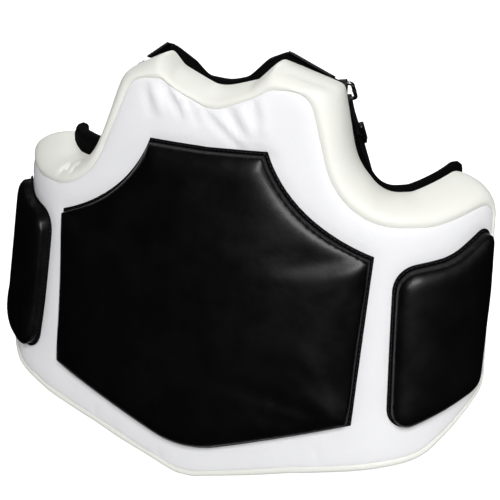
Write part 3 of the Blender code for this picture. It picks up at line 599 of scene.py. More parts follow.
def ridge(points, start, end, width, height, fade=0.25):
    """A soft fold along a line: its height at flat points, fading out at both ends."""
    start, end = np.array(start), np.array(end)
    along = end - start
    part = (points - start) @ along / (along @ along)
    off = points - (start + share(part)[:, None] * along)
    strength = share(np.minimum(part, 1.0 - part) / fade)
    return height * np.exp(-np.einsum("ij,ij->i", off, off) / width**2) * strength


def waves(points, scale, seed):
    """Smooth undulation between -1 and 1, the same on every run."""
    angles = np.array([0.3, 1.1, 1.9, 2.6, 3.4]) + seed
    total = np.zeros(len(points))
    for k, angle in enumerate(angles):
        reach = scale * (0.7 + 0.23 * k)
        way = np.array([math.cos(angle), math.sin(angle)])
        total += np.sin(points @ way / reach + 2.1 * k + seed)
    return total / len(angles)


# Creases of the white face: (start, end, width, height) in flat metres. Left is the wearer's left.
CREASES = [
    ((-0.010, 0.104), (0.040, 0.064), 0.0032, -0.0019),
    ((-0.004, 0.105), (0.046, 0.068), 0.0040, 0.0012),
    ((0.030, 0.076), (0.070, 0.064), 0.0040, -0.0010),
    ((-0.050, 0.122), (-0.024, 0.092), 0.0036, -0.0024),
    ((-0.040, 0.118), (-0.016, 0.092), 0.0034, 0.0020),
    ((-0.060, 0.122), (-0.044, 0.090), 0.0040, 0.0020),
    ((-0.066, 0.118), (-0.058, 0.088), 0.0036, -0.0014),
    ((-0.024, 0.108), (-0.008, 0.086), 0.0032, -0.0018),
    ((0.016, 0.107), (0.034, 0.078), 0.0040, -0.0022),
    ((0.026, 0.110), (0.044, 0.080), 0.0040, 0.0018),
    ((0.048, 0.118), (0.055, 0.080), 0.0048, 0.0016),
    ((0.040, 0.116), (0.050, 0.090), 0.0034, -0.0012),
    ((-0.100, -0.208), (-0.094, -0.184), 0.0032, -0.0011),
    ((-0.078, -0.212), (-0.074, -0.192), 0.0032, -0.0009),
    ((-0.022, -0.222), (-0.030, -0.206), 0.0032, -0.0011),
    ((0.120, -0.198), (0.116, -0.176), 0.0036, -0.0008),
]


def face_relief(points):
    """How far the white face stands out at flat points."""
    edge = distance(points, FACE)
    t = -SEAM_DEPTH * np.exp(-edge / SEAM_REACH)
    t = t - SEAM_SINK * share(1.0 - edge / 0.014) ** 2
    sewn = ease(edge / 0.0030)
    for start, end, width, height in CREASES:
        t = t + ridge(points, start, end, width, height) * sewn
    for pad in (CENTER_PAD, *SIDE_PADS.values()):
        off = distance(points, pad)
        t = t - 0.0008 * np.exp(-((off / 0.004) ** 2))
    return t + 0.0004 * waves(points, 0.018, 0.4) * share(edge / 0.02)


def curve3(start, pull, end, steps):
    """A curve from start, which is left out, to end, drawn towards a third point."""
    parts = np.linspace(0.0, 1.0, steps + 1)[1:, None]
    start, pull, end = (np.array(p) for p in (start, pull, end))
    return start * (1 - parts) ** 2 + pull * 2 * parts * (1 - parts) + end * parts**2


def run_lengths(points):
    """Distance of each point from the first, along a polyline."""
    steps = np.linalg.norm(np.diff(points, axis=0), axis=1)
    return np.concatenate(([0.0], np.cumsum(steps)))


def resample(loop, spacing, corners=()):
    """A closed polyline cut into even steps between its corners, which stay."""
    size = len(loop)
    stops = sorted(corners) or [0]
    points = []
    for a, b in zip(stops, [*stops[1:], stops[0] + size]):
        run = loop[[k % size for k in range(a, b + 1)]]
        lengths = run_lengths(run)
        count = max(1, round(lengths[-1] / spacing))
        at = np.linspace(0.0, lengths[-1], count + 1)[:-1]
        points.append(np.column_stack([np.interp(at, lengths, run[:, k]) for k in (0, 1)]))
    return np.vstack(points)


def center_outline():
    """The centre pad: level top, hollow flanks, sharp shoulders and a blunt point below."""
    shoulder, foot, point = (0.0571, 0.0714), np.array((0.1447, -0.1549)), np.array((0.0, -0.2052))
    half = [np.array([[0.0, 0.0700], shoulder])]
    half.append(curve3(shoulder, (0.0796, 0.0156), (0.155, -0.0091), 24))
    half.append(foot[None])
    tip = fillet(foot, point, foot * (-1.0, 1.0), 0.09, 24)
    half.append(tip[tip[:, 0] > 1e-6])
    half.append(tip[np.abs(tip[:, 0]) <= 1e-6])
    half = np.vstack(half)
    loop = full_loop(half, half)
    sharp = [0, 1, 25, 26]
    size = len(loop)
    return resample(loop, STEP, [*sharp, *(size - k for k in sharp[1:])])


def side_outline(side):
    """A side pad, whose top edge rises to the rear."""
    corners = [
        (0.1715, -0.0180, 0.022, 8),
        (0.2220, -0.0108, 0.060, 4),
        (0.2645, 0.0145 if side > 0 else 0.0108, 0.010 if side > 0 else 0.020, 8),
        (0.2650, -0.0450, 0.150, 4),
        (0.2580, -0.1285, 0.020, 8),
        (0.1735, -0.1622, 0.016, 8),
    ]
    places = [np.array(c[:2]) for c in corners]
    arcs = [fillet(places[k - 1], places[k], places[(k + 1) % 6], *corners[k][2:]) for k in range(6)]
    loop = resample(np.vstack(arcs), STEP)
    return loop if side > 0 else (loop * (-1.0, 1.0))[::-1]


CENTER_PAD = center_outline()
SIDE_PADS = {word: side_outline(side) for word, side in SIDES}


def add_face():
    """The white face, over the front and both wings."""
    points, faces = fill(FACE, 0.0042, (0.0011, 0.0026, 0.0050))
    flat = np.column_stack((points, face_relief(points)))
    faces = facing_out(points, faces)
    pieces = add_halves("white_face", wrap(flat), faces, points[:, 0], WHITE)
    for (word, _), piece in zip(SIDES, pieces):
        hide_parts("front_panel", "wing_panel_" + word, "front_foam", "wing_foam_" + word)


def facing_out(points, faces):
    """Triangles turned anticlockwise in the flat, so that they face outwards once wrapped."""
    a, b, c = (points[[f[k] for f in faces]] for k in range(3))
    turn = (b - a)[:, 0] * (c - a)[:, 1] - (b - a)[:, 1] * (c - a)[:, 0]
    return [tuple(f) if t > 0 else tuple(f[::-1]) for f, t in zip(faces, turn)]


def band_bulge(loop):
    """How far the band swells beyond a plain quarter round, round its loop."""
    s, z = np.abs(loop[:, 0]), loop[:, 1]
    rear = share((s - 0.255) / 0.015)
    top = share((z + 0.03) / 0.03)
    hem = 1.0 - share((z + 0.15) / 0.03)
    neck = 1.0 - share((s - 0.05) / 0.02)
    rest = np.where(loop[:, 0] > 0.0, 0.0022, 0.0004) * (1.0 - neck) + 0.0010 * neck
    return smooth_loop(0.0006 * rear * (1.0 - hem) + rest * top * (1.0 - rear) + 0.0022 * hem, 12)


GATHERS = ((-1.0, 0.132, 0.178, 0.0085, 0.0016), (1.0, 0.128, 0.165, 0.011, 0.0009))


def pucker(loop_s, loop_z, v):
    """Gathers of the band where it turns the armholes."""
    total = np.zeros(len(loop_s))
    for side, start, end, pitch, height in GATHERS:
        s = loop_s * side
        here = share(np.minimum(s - start, end - s) / 0.010) * (loop_z > -0.05)
        swing = np.sin(s / pitch * math.tau + 1.3 * np.sin(s / 0.017))
        swing = swing + 0.35 * np.sin(s / pitch * 3.1 + 1.0)
        total += height * here * swing
    return total * math.sin(math.pi * min(1.0, v * 1.25)) ** 1.5


def add_band():
    """The cream boxing between the face and the lining, rolled over the foam's edge."""
    normal = outward(smooth_loop((FACE + BACK) / 2.0, 2))
    bulge = band_bulge(FACE)
    shoulder = share((FACE[:, 1] - 0.112) / 0.008) * (FACE[:, 0] > 0.045)
    channel = 0.0016 * smooth_loop(shoulder, 6)
    rows = []
    for k in range(BAND_STEPS + 1):
        v = k / BAND_STEPS
        turn = v * math.pi / 2.0
        flat = FACE + (BACK - FACE) * math.sin(turn) ** 1.05
        swell = bulge * math.sin(2.0 * turn) ** 0.8 if k < BAND_STEPS else 0.0 * bulge
        swell = swell + pucker(FACE[:, 0], FACE[:, 1], v)
        swell = swell - channel * math.exp(-(((v - 0.56) / 0.09) ** 2))
        ripple = waves(FACE + (v * 0.03, 0.0), 0.009, 1.7)
        swell = swell + 0.0008 * ripple * math.sin(math.pi * v)
        flat = flat + normal * swell[:, None]
        reach = np.linalg.norm(flat - FACE, axis=1) + 0.04 * v * v
        t = -FOAM_BACK * (1.0 - math.cos(turn)) - SEAM_DEPTH * np.exp(-reach / SEAM_REACH)
        t = t - SEAM_SINK * (np.exp(-reach / 0.004) if k else 1.0)
        rows.append(np.column_stack((flat, t)))
    points = np.vstack(rows)
    faces = [(b, c, d, a) for a, b, c, d in tube(BAND_STEPS + 1, len(FACE))]
    pieces = add_halves("cream_band", wrap(points), faces, points[:, 0], CREAM)
    for (word, _), piece in zip(SIDES, pieces):
        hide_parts("neck_band", "front_hem_band", "armhole_band_" + word, "wing_band_" + word)


# ---- lining


def add_lining():
    """The padded lining behind the foam: a soft closed slab with a rolled edge."""
    outlines = [LINING_TOP[word] + LINING_LOW[word] for word, _ in SIDES]
    halves = [matched((outline,), ((0.0, HEM_LOW),), STEP)[0] for outline in outlines]
    loop = smooth_loop(full_loop(*halves), 5)
    points, faces = fill(loop, 0.0050, (0.0016, 0.0036, 0.0065))
    edge = distance(points, loop)
    thick = LINING_BACK - FOAM_BACK - GAP
    roll = np.sqrt(share(1.0 - (1.0 - np.clip(edge / 0.006, 0.0, 1.0)) ** 2))
    channel = 0.0016 * np.exp(-(((edge - 0.014) / 0.0022) ** 2))
    fold = 0.0022 * np.exp(-(((np.abs(points[:, 0]) - FOLD) / 0.0035) ** 2))
    fold = fold * share((edge - 0.014) / 0.01)
    swell = 0.0010 * share((edge - 0.014) / 0.03) + 0.0007 * waves(points, 0.022, 2.2)
    middle = -FOAM_BACK - GAP - thick / 2.0
    rear = middle - thick / 2.0 * roll + channel + fold - swell * roll
    front = middle + (thick / 2.0 - GAP) * roll
    rim = edge < 1e-7
    rear[rim] = front[rim] = middle
    faces = facing_out(points, faces)
    back_index = np.arange(len(points))
    front_index = back_index.copy()
    inner = np.flatnonzero(~rim)
    front_index[inner] = len(points) + np.arange(len(inner))
    both = np.concatenate((rear, front[inner]))
    flat = np.column_stack((np.vstack((points, points[inner])), both))
    all_faces = [tuple(back_index[list(f)][::-1]) for f in faces]
    all_faces += [tuple(front_index[list(f)]) for f in faces]
    world = wrap(flat)
    normals = vertex_normals(world, all_faces)
    for word, part, chosen, used in halves_of(world, all_faces, flat[:, 0]):
        cap = [cap_middle(chosen)]
        piece = add_mesh("lining_" + word, part, chosen + cap, LINER, 60.0)
        keep_normals(piece.data, normals[used], chosen)
        across_fold(piece, word, 0.016, 0.016)
        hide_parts("front_liner", "wing_liner_" + word)


def cap_middle(faces):
    """The face that closes a half slab on the centre plane."""
    follow = dict(rims(faces))
    start = next(iter(follow))
    ring = [start]
    while follow[ring[-1]] != start:
        ring.append(follow[ring[-1]])
    return tuple(ring[::-1])


# ---- raised pads

FLANGE = 0.0026           # width of a pad's stitched rim
RIM_SIDES = 12
RIM_HALF = 0.0009         # half of the rim's thickness
RIM_SUNK = 0.0006
PAD_HEIGHT = 0.0140
PAD_BASE = 0.0006
STITCH_PITCH = 0.0042
STITCH_LENGTH = 0.0030
STITCH_RADIUS = 0.0003
CLOTH = {
    "quality": 6, "mass": 0.25, "tension_stiffness": 18.0, "compression_stiffness": 18.0,
    "shear_stiffness": 9.0, "bending_stiffness": 2.0, "air_damping": 4.0, "use_pressure": True,
    "uniform_pressure_force": 4.0,
}
SWELL_CAP = 0.004         # the furthest that pressure moves a pad's cover
SWELL_FRAMES = 20


def inset_loop(loop, amount):
    """A closed clockwise loop moved inwards by a distance."""
    into = unit(loop - np.roll(loop, 1, 0))
    out = unit(np.roll(loop, -1, 0) - loop)
    normal = unit(np.column_stack((into[:, 1] + out[:, 1], -into[:, 0] - out[:, 0])))
    cosine = np.einsum("ij,ij->i", normal, np.column_stack((into[:, 1], -into[:, 0])))
    return loop + normal * (amount / np.maximum(cosine, 0.45))[:, None]


def swell_cloth(name, points, faces, held):
    """Let a sheet swell under pressure as cloth, held at its edge and moved at most SWELL_CAP."""
    piece = add_mesh(name + "_sim", points, faces, BLACK)
    group = piece.vertex_groups.new(name="held")
    group.add([int(i) for i in np.flatnonzero(held)], 1.0, "REPLACE")
    cloth = piece.modifiers.new("cloth", "CLOTH")
    for key, value in CLOTH.items():
        setattr(cloth.settings, key, value)
    cloth.settings.vertex_group_mass = "held"
    cloth.settings.effector_weights.gravity = 0.0
    cloth.collision_settings.use_collision = False
    scene = bpy.context.scene
    for step in range(1, SWELL_FRAMES + 1):
        scene.frame_set(step)
    shape = piece.evaluated_get(bpy.context.evaluated_depsgraph_get())
    moved = np.zeros(len(points) * 3)
    shape.data.vertices.foreach_get("co", moved)
    scene.frame_set(1)
    move = moved.reshape(-1, 3) - points
    length = np.linalg.norm(move, axis=1)
    bpy.data.objects.remove(piece)
    return points + move * np.minimum(1.0, SWELL_CAP / np.maximum(length, 1e-9))[:, None]


def relax(points, faces, rounds, held):
    """Even out a surface, apart from its held points."""
    pairs = np.array([(f[k], f[(k + 1) % len(f)]) for f in faces for k in range(len(f))])
    pairs = np.vstack((pairs, pairs[:, ::-1]))
    degree = np.maximum(np.bincount(pairs[:, 0], minlength=len(points)), 1)[:, None]
    for _ in range(rounds):
        total = np.zeros_like(points)
        np.add.at(total, pairs[:, 0], points[pairs[:, 1]])
        points = np.where(held[:, None], points, 0.5 * points + 0.5 * total / degree)
    return points


def pad_profile(edge, width):
    """Height of a pad over the face at a distance inside its rim."""
    part = share(edge / width)
    return PAD_BASE + (PAD_HEIGHT - PAD_BASE) * (1.0 - (1.0 - part) ** 3.0) ** (1.0 / 3.0)


def add_pad(name, loop, body, nodes, crown, spacing, roll):
    """A raised pad: a swollen cover, its stitched rim and the rim's stitches. The cover rises over
    the width roll, and its middle stands a crown higher."""
    foot = inset_loop(loop, FLANGE)
    points, faces = fill(foot, spacing, (0.0010, 0.0024, 0.0044))
    faces = facing_out(points, faces)
    edge = distance(points, foot)
    depth = edge.max()
    t = pad_profile(edge, roll) + crown * (edge / depth) ** 0.7
    t = t + 0.00035 * waves(points, 0.016, 3.1) * share(edge / 0.02)
    world = wrap(np.column_stack((points, t)))
    world = swell_cloth(name, world, faces, edge < 1e-7)
    world = relax(world, faces, 4, edge < 0.0012)
    normals = vertex_normals(world, faces)
    cover = add_skin(name + "_cover", world, faces, normals, BLACK)
    rim = add_rim(name, loop)
    sewing = add_stitches(name + "_stitches", inset_loop(loop, FLANGE * 0.62), PAD_BASE + 0.0013)
    for piece in (cover, rim, sewing):
        settle(piece, body, "black_vinyl")
    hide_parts(*nodes[:2])
    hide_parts(nodes[2])


def add_rim(name, loop):
    """The folded edge of a pad's cover, sewn flat on the face."""
    rows = []
    for k in range(RIM_SIDES):
        angle = math.tau * k / RIM_SIDES
        x = math.copysign(abs(math.cos(angle)) ** 0.6, math.cos(angle))
        y = math.copysign(abs(math.sin(angle)) ** 0.8, math.sin(angle))
        ring = inset_loop(loop, FLANGE / 2.0 * (1.0 - x))
        rows.append(at_height(ring, PAD_BASE + RIM_HALF * (1.0 + y) - RIM_SUNK))
    faces = tube(RIM_SIDES, len(loop), True)
    return add_mesh(name + "_rim", wrap(np.vstack(rows)), faces, EDGING, 70.0)


def capsule_rows(length, radius, sides, rows):
    """Points of one stitch along X, sunk at both ends, as rows of rings."""
    points = []
    for k in range(rows + 1):
        part = 2.0 * k / rows - 1.0
        size = radius * math.sqrt(max(0.0, 1.0 - abs(part) ** 3)) + 0.00002
        lift = -0.9 * radius * abs(part) ** 2.5
        for j in range(sides):
            angle = math.tau * j / sides
            points.append((part * length / 2.0, size * math.cos(angle), size * math.sin(angle) + lift))
    return np.array(points)


def add_seam(name, places, alongs, normals, length, radius, finish):
    """Stitches at world places, each lying along a direction on a surface."""
    sides, rows = 6, 4
    one = capsule_rows(length, radius, sides, rows)
    faces_one = tube(rows + 1, sides)
    faces_one.append(tuple(range(sides)))
    faces_one.append(tuple(rows * sides + j for j in range(sides - 1, -1, -1)))
    points, faces = [], []
    for place, along, normal in zip(places, alongs, normals):
        along = along / np.linalg.norm(along)
        across = np.cross(normal, along)
        across /= np.linalg.norm(across)
        up = np.cross(along, across)
        base = len(points) * len(one)
        points.append(place + one @ np.array((along, across, up)))
        faces += [tuple(i + base for i in f) for f in faces_one]
    return add_mesh(name, np.vstack(points), faces, finish, 60.0)


def add_stitches(name, loop, t):
    """Black stitches round a flat closed loop at a height over the face."""
    loop = resample(loop, STITCH_PITCH)
    ahead = np.roll(loop, -1, 0) - np.roll(loop, 1, 0)
    places = wrap(at_height(loop, t))
    normals = (wrap(at_height(loop, t + 0.001)) - places) / 0.001
    forward = wrap(at_height(loop + ahead * 0.05, t)) - places
    return add_seam(name, places, forward, normals, STITCH_LENGTH, STITCH_RADIUS, BLACK_THREAD)


# ---- webbing

LAYER = WEB + GAP
STRAP_WIDTH = 0.025
BELT_WIDTH = 0.038
WIRE = 0.0018
LOOP_CLEAR = 0.0004
BAR_ROUND = WIRE + LOOP_CLEAR + WEB / 2.0
LOOP_SEWN = 0.034
RING_DROP = 0.020
RING_SPARE = 0.005
WRAP_START = 0.008


def smooth_path(points, widths, spacing=0.0016):
    """A path and its width directions, cut into short steps along a smooth curve."""
    points, widths = np.array(points, float), np.array(widths, float)
    lengths = run_lengths(points)
    slopes = np.gradient(points, lengths, axis=0)
    made, across, at = [], [], []
    for k in range(len(points) - 1):
        h = lengths[k + 1] - lengths[k]
        count = max(1, round(h / spacing))
        for j in range(count + (k == len(points) - 2)):
            p = j / count
            made.append(
                points[k] * (1 + 2 * p) * (1 - p) ** 2 + points[k + 1] * p * p * (3 - 2 * p)
                + slopes[k] * h * p * (1 - p) ** 2 - slopes[k + 1] * h * p * p * (1 - p)
            )
            across.append(widths[k] * (1 - p) + widths[k + 1] * p)
            at.append(lengths[k] + h * p)
    return np.array(made), np.array(across), np.array(at)


def add_webbing(name, points, widths, width, body, node):
    """Woven strap along a path: a flat section with rolled selvedges."""
    path, across, at = smooth_path(points, widths)
    across = unit(across)
    normal = unit(np.cross(across, unit(np.gradient(path, axis=0))))
    half, thick = width / 2.0, WEB / 2.0
    selvedge = ((0.0, 0.0), (0.0003, 0.9), (0.0012, 1.0), (0.0022, 0.86))
    outline = [(x - half, y * thick) for x, y in selvedge]
    inner = [(x, 0.86 * thick) for x in np.linspace(-half + 0.005, half - 0.005, 5)]
    top = outline + inner + [(-x, y) for x, y in outline[:0:-1]]
    shape = top + [(half, 0.0)] + [(x, -y) for x, y in top[:0:-1]]
    count = len(shape)
    rows, weave = [], []
    for x, y in shape:
        rows.append(path + across * x + normal * y)
        weave.append(np.column_stack((at, np.full(len(at), x), np.zeros(len(at)))))
    points = np.stack(rows, 1).reshape(-1, 3)
    weave = np.stack(weave, 1).reshape(-1, 3)
    faces = [(a, d, c, b) for a, b, c, d in tube(len(path), count)]
    faces.append(tuple(range(count - 1, -1, -1)))
    faces.append(tuple((len(path) - 1) * count + j for j in range(count)))
    piece = add_mesh(name, points, faces, WEBBING, 60.0)
    attribute = piece.data.attributes.new("weave", "FLOAT_VECTOR", "POINT")
    attribute.data.foreach_set("vector", weave.ravel())
    settle(piece, body, "webbing", node)


def arc(radius, start, end, steps):
    """Points (x, y) of an arc round the origin, in degrees."""
    angles = np.radians(np.linspace(start, end, steps + 1))
    return [(radius * math.cos(a), radius * math.sin(a)) for a in angles]


def frame_at(origin, along, width):
    """A frame with X along the webbing and Z across it."""
    across = Vector(width).normalized()
    along = Vector(along)
    ahead = (along - across * along.dot(across)).normalized()
    turn = Matrix((ahead, across.cross(ahead), across)).transposed()
    return Matrix.Translation(Vector(origin)) @ turn.to_4x4()


def in_frame(place, points):
    """World places of points (x, y) in a frame."""
    return [np.array(place @ Vector((*p, 0.0))) for p in points]


def box_stitches(name, place, start, width, side, body):
    """A sewn box with a cross in it, on one face of a strap's tail."""
    end, half = 0.031, width / 2.0 - 0.0030
    corners = np.array([(start, -half), (end, -half), (end, half), (start, half)])
    places, alongs, normals = [], [], []
    turn = place.to_3x3()
    for k, m in ((0, 1), (1, 2), (2, 3), (3, 0), (0, 2), (1, 3)):
        a, b = corners[k], corners[m]
        count = max(2, round(float(np.linalg.norm(b - a)) / 0.0026))
        for k in range(count):
            p = a + (b - a) * (k + 0.5) / count
            places.append(np.array(place @ Vector((p[0], side, p[1]))))
            alongs.append(np.array(turn @ Vector((b[0] - a[0], 0.0, b[1] - a[1]))))
            normals.append(np.array(turn @ Vector((0.0, math.copysign(1.0, side), 0.0))))
    piece = add_seam(name, places, alongs, normals, 0.0021, 0.00032, BLACK_THREAD)
    settle(piece, body, "webbing")


def add_ring(name, place, width, body):
    """A rounded rectangular wire ring with a butt weld in one side."""
    half = (width + RING_SPARE) / 2.0 + WIRE
    corner = 0.003
    path = []
    for x, z, start in (
        (corner, half - corner, 90),
        (corner, corner - half, 180),
        (RING_DROP - corner, corner - half, 270),
        (RING_DROP - corner, half - corner, 360),
    ):
        path += [(x + a, z + b) for a, b in arc(corner, start, start + 90, 8)]
    path = resample(np.array(path), 0.0011)
    ahead = unit(np.roll(path, -1, 0) - np.roll(path, 1, 0))
    side = np.column_stack((ahead[:, 1], -ahead[:, 0]))
    off = np.linalg.norm(path - (RING_DROP / 2.0, half), axis=1)
    weld = 1.0 + 0.16 * np.exp(-((off / 0.0011) ** 2))
    sides = 12
    points = []
    for p, n, w in zip(path, side, weld):
        for k in range(sides):
            angle = math.tau * k / sides
            x, z = p + n * WIRE * w * math.cos(angle)
            points.append(place @ Vector((x, WIRE * w * math.sin(angle), z)))
    piece = add_mesh(name + "_wire", np.array(points), tube(len(path), sides, True), STEEL, 80.0)
    settle(piece, body, "steel", name)


SHOULDER_S = 0.098
STRAP_LEAN = 0.12
STRAP_RAKE = (0.6, -0.8)
BELT_Y = 0.23855
BELT_Z = -0.060
BELT_HEIGHT = 0.17
STRAP_CLEAR = 0.0045
ANCHOR_S = (0.240, 0.249, 0.259, 0.270)
BELT_BAR_S = 0.290
ANCHOR_ROUND = BAR_ROUND + LOOP_CLEAR
BELT_TURN_IN = math.radians(14.0)
BELT_RUN = 0.072
BELT_PULL = 0.045
BELT_TAIL = 0.018
BUCKLE_BAR = {"left": 0.0435, "right": -0.0510}


def add_shoulder(word, side):
    """Loop, ring and strap behind one shoulder."""
    angle = float(section(np.array([SHOULDER_S]))[2][0])
    width = Vector((math.cos(angle), side * math.sin(angle), side * STRAP_LEAN)).normalized()
    rear = Vector((-side * math.sin(angle), math.cos(angle), 0.0))
    bar = Vector(joint("shoulder_ring_swing_" + word)["pos_m"])
    low_bar = Vector(joint("back_strap_swing_" + word)["pos_m"])
    level_z = bar.z - ORIGIN[2]
    ends = wrap([(side * SHOULDER_S, z, -LINING_BACK) for z in (level_z, level_z - LOOP_SEWN)])
    sewn = frame_at(bar, ends[1] - ends[0], width)
    along = rear * STRAP_RAKE[0] + Vector((0.0, 0.0, STRAP_RAKE[1]))
    ring = frame_at(bar, along, width)
    strap = frame_at(low_bar, along, width)
    loop = [(LOOP_SEWN, LAYER - BAR_ROUND), (0.020, LAYER - BAR_ROUND), (WRAP_START, LAYER - BAR_ROUND)]
    loop += arc(BAR_ROUND, 60, 270, 10) + [(0.012, -BAR_ROUND), (LOOP_SEWN, -BAR_ROUND)]
    loop = in_frame(sewn, loop)
    across = np.array(width)
    loop_web = (STRAP_WIDTH, "front", "shoulder_loop_" + word)
    add_webbing("shoulder_web_" + word, loop, [across] * len(loop), *loop_web)
    raised = LAYER - BAR_ROUND + WEB * 0.45
    box_stitches("shoulder_sewing_" + word, sewn, 0.013, STRAP_WIDTH, raised, "front")
    add_ring("shoulder_ring_" + word, ring, STRAP_WIDTH, "shoulder_ring_" + word)
    path = [(WRAP_START, LAYER / 2.0)] + arc(BAR_ROUND, 70, 290, 10)
    path += [(WRAP_START, -LAYER / 2.0), (0.020, -LAYER / 2.0), (LOOP_SEWN, -LAYER / 2.0)]
    points = in_frame(strap, path)
    widths = [across] * len(points)
    ahead = np.array(strap.col[0].to_3d())
    start = points[0]
    reach = (BELT_Y - WEB - STRAP_CLEAR - start[1]) / ahead[1]
    knee = start + ahead * reach
    foot = np.array((knee[0], knee[1], BELT_HEIGHT - BELT_WIDTH / 2.0))
    level = np.array((1.0, 0.0, 0.0))
    down = np.array((0.0, 0.0, -1.0))
    free = [
        (foot, 1.0), (knee + down * 0.020, 1.0), (knee + down * 0.008, 0.7),
        (knee + (down - ahead) * 0.0012, 0.5), (knee - ahead * 0.008, 0.3),
    ]
    free += [(start + ahead * (reach - 0.008) * part, 0.0) for part in (0.75, 0.5, 0.25)]
    points = [point for point, _ in free] + points
    widths = [across * (1.0 - turned) + level * turned for _, turned in free] + widths
    body = "back_strap_" + word
    add_webbing("back_web_" + word, points, widths, STRAP_WIDTH, body, body)
    raised = -LAYER / 2.0 - WEB * 0.45
    box_stitches("strap_sewing_" + word, strap, 0.012, STRAP_WIDTH, raised, body)


def add_belt_side(word, side):
    """Anchor, ring and half belt of one side."""
    ring_bar = joint("belt_ring_swing_" + word)
    bar = Vector(ring_bar["pos_m"])
    up = -Vector(ring_bar["axis"]) if side > 0 else Vector(ring_bar["axis"])
    rear = Vector((-side * math.sin(BELT_TURN_IN), math.cos(BELT_TURN_IN), 0.0))
    ring = frame_at(bar, rear, up * side)
    low_bar = Vector(joint("belt_swing_" + word)["pos_m"])
    add_ring("belt_ring_" + word, ring, BELT_WIDTH, "belt_ring_" + word)
    t_near = -LINING_BACK - 2.0 * GAP - WEB / 2.0 - 0.0008
    t_bar = t_near + 0.0008 - ANCHOR_ROUND
    path = [(s, t_near) for s in ANCHOR_S]
    path += [(BELT_BAR_S + x, t_bar + y) for x, y in arc(ANCHOR_ROUND, 90, -120, 10)]
    path.append((BELT_BAR_S - WRAP_START, t_near - LAYER))
    path += [(s, t_near - LAYER) for s in reversed(ANCHOR_S)]
    half = BELT_WIDTH / 2.0
    levels = (BELT_Z, BELT_Z + half, BELT_Z - half)
    centre, high, low = (wrap([(side * s, z, t) for s, t in path]) for z in levels)
    drift = np.array(bar) - wrap([(side * BELT_BAR_S, BELT_Z, t_bar)])[0]
    late = share((np.array([p[0] for p in path]) - 0.262) / 0.012)[:, None]
    anchor = (BELT_WIDTH, "wing_" + word, "belt_anchor_" + word)
    add_webbing("anchor_web_" + word, centre + drift * late, high - low, *anchor)
    upright = Vector((0.0, 0.0, 1.0))
    strap = frame_at(low_bar, rear, up * side)
    tilted = strap.col[2].to_3d() * side
    inner = LAYER / 2.0
    near = [(LOOP_SEWN, -inner * side), (0.020, -inner * side), (WRAP_START, -inner * side)]
    near += arc(BAR_ROUND, -70 * side, -290 * side, 10)
    near.append((WRAP_START, inner * side))
    points = in_frame(strap, near)
    bar_x = BUCKLE_BAR[word]
    start = Vector(points[-1])
    run_end = Vector((bar_x + side * BELT_RUN, BELT_Y - inner, BELT_HEIGHT))
    pull = start + strap.col[0].to_3d() * BELT_PULL
    run_pull = run_end + Vector((side * BELT_PULL, 0.0, 0.0))
    widths = [tilted] * len(points)
    for k in range(1, 13):
        p = k / 12
        q = 1.0 - p
        bend = start * q**3 + pull * (3 * p * q * q) + run_pull * (3 * p * p * q) + run_end * p**3
        points.append(np.array(bend))
        widths.append(tilted.lerp(upright, p))
    far = [(0.05, -inner), (0.028, -inner), (WRAP_START, -inner)] + arc(BAR_ROUND, -70, -290, 10)
    far += [(WRAP_START, inner), (0.012, inner), (BELT_TAIL, inner)]
    for x, y in far:
        points.append(np.array((bar_x + side * x, BELT_Y + y, BELT_HEIGHT)))
        widths.append(upright)
    add_webbing("belt_web_" + word, points, widths, BELT_WIDTH, "belt_" + word, "belt_strap_" + word)
    raised = side * (-inner - WEB * 0.45)
    box_stitches("belt_sewing_" + word, strap, 0.012, BELT_WIDTH, raised, "belt_" + word)


# ---- CAD pieces that stay


def dress(node, finish, bevel, angle=35.0):
    """Give a CAD node its finish and soft edges."""
    piece = frame["nodes"][node]
    piece.data.materials.clear()
    piece.data.materials.append(finish)
    weld = piece.modifiers.new("weld", "WELD")
    weld.merge_threshold = 0.00002
    soft = piece.modifiers.new("edges", "BEVEL")
    soft.width = bevel
    soft.segments = 3
    soft.limit_method = "ANGLE"
    soft.angle_limit = math.radians(angle)
    soft.harden_normals = False
    for face in piece.data.polygons:
        face.use_smooth = True


def add_binding(word, side):
    """Ribbed webbing sewn over the top edge of the lining on a shoulder."""
    inner, outer = np.array(LINING_TOP[word][3][:2]), np.array(LINING_TOP[word][4][:2])
    along = outer - inner
    rise = np.array((-along[1], along[0])) / np.linalg.norm(along) * GAP
    mid_t = -(FOAM_BACK + LINING_BACK) / 2.0
    parts = np.linspace(0.05, 0.84 if side > 0 else 0.62, 22)
    flats = [inner + along * p + rise for p in parts]
    points = wrap([(side * f[0], f[1], mid_t) for f in flats])
    ahead = wrap([(side * f[0], f[1] - 0.0003, mid_t - 0.001) for f in flats]) - points
    width = LINING_BACK - FOAM_BACK
    add_webbing(f"binding_{word}", points, ahead, width, "front", "shoulder_binding_" + word)


add_face()
add_band()
add_lining()
nodes = [f"center_pad_{kind}" for kind in ("cover", "foam", "piping")]
add_pad("center_pad", CENTER_PAD, "front", nodes, 0.0022, 0.0036, 0.020)
for word, side in SIDES:
    nodes = [f"side_pad_{kind}_{word}" for kind in ("cover", "foam", "piping")]
    add_pad("side_pad_" + word, SIDE_PADS[word], "wing_" + word, nodes, 0.0016, 0.0032, 0.013)
    add_binding(word, side)
    add_shoulder(word, side)
    add_belt_side(word, side)
    dress("strap_slider_" + word, STEEL, 0.0006)
for kind in ("housing", "insert", "prong_upper", "prong_lower"):
    dress("buckle_" + kind, PLASTIC, 0.0005)
dress("belt_slider", PLASTIC, 0.0005)

# ---- floor, light and camera


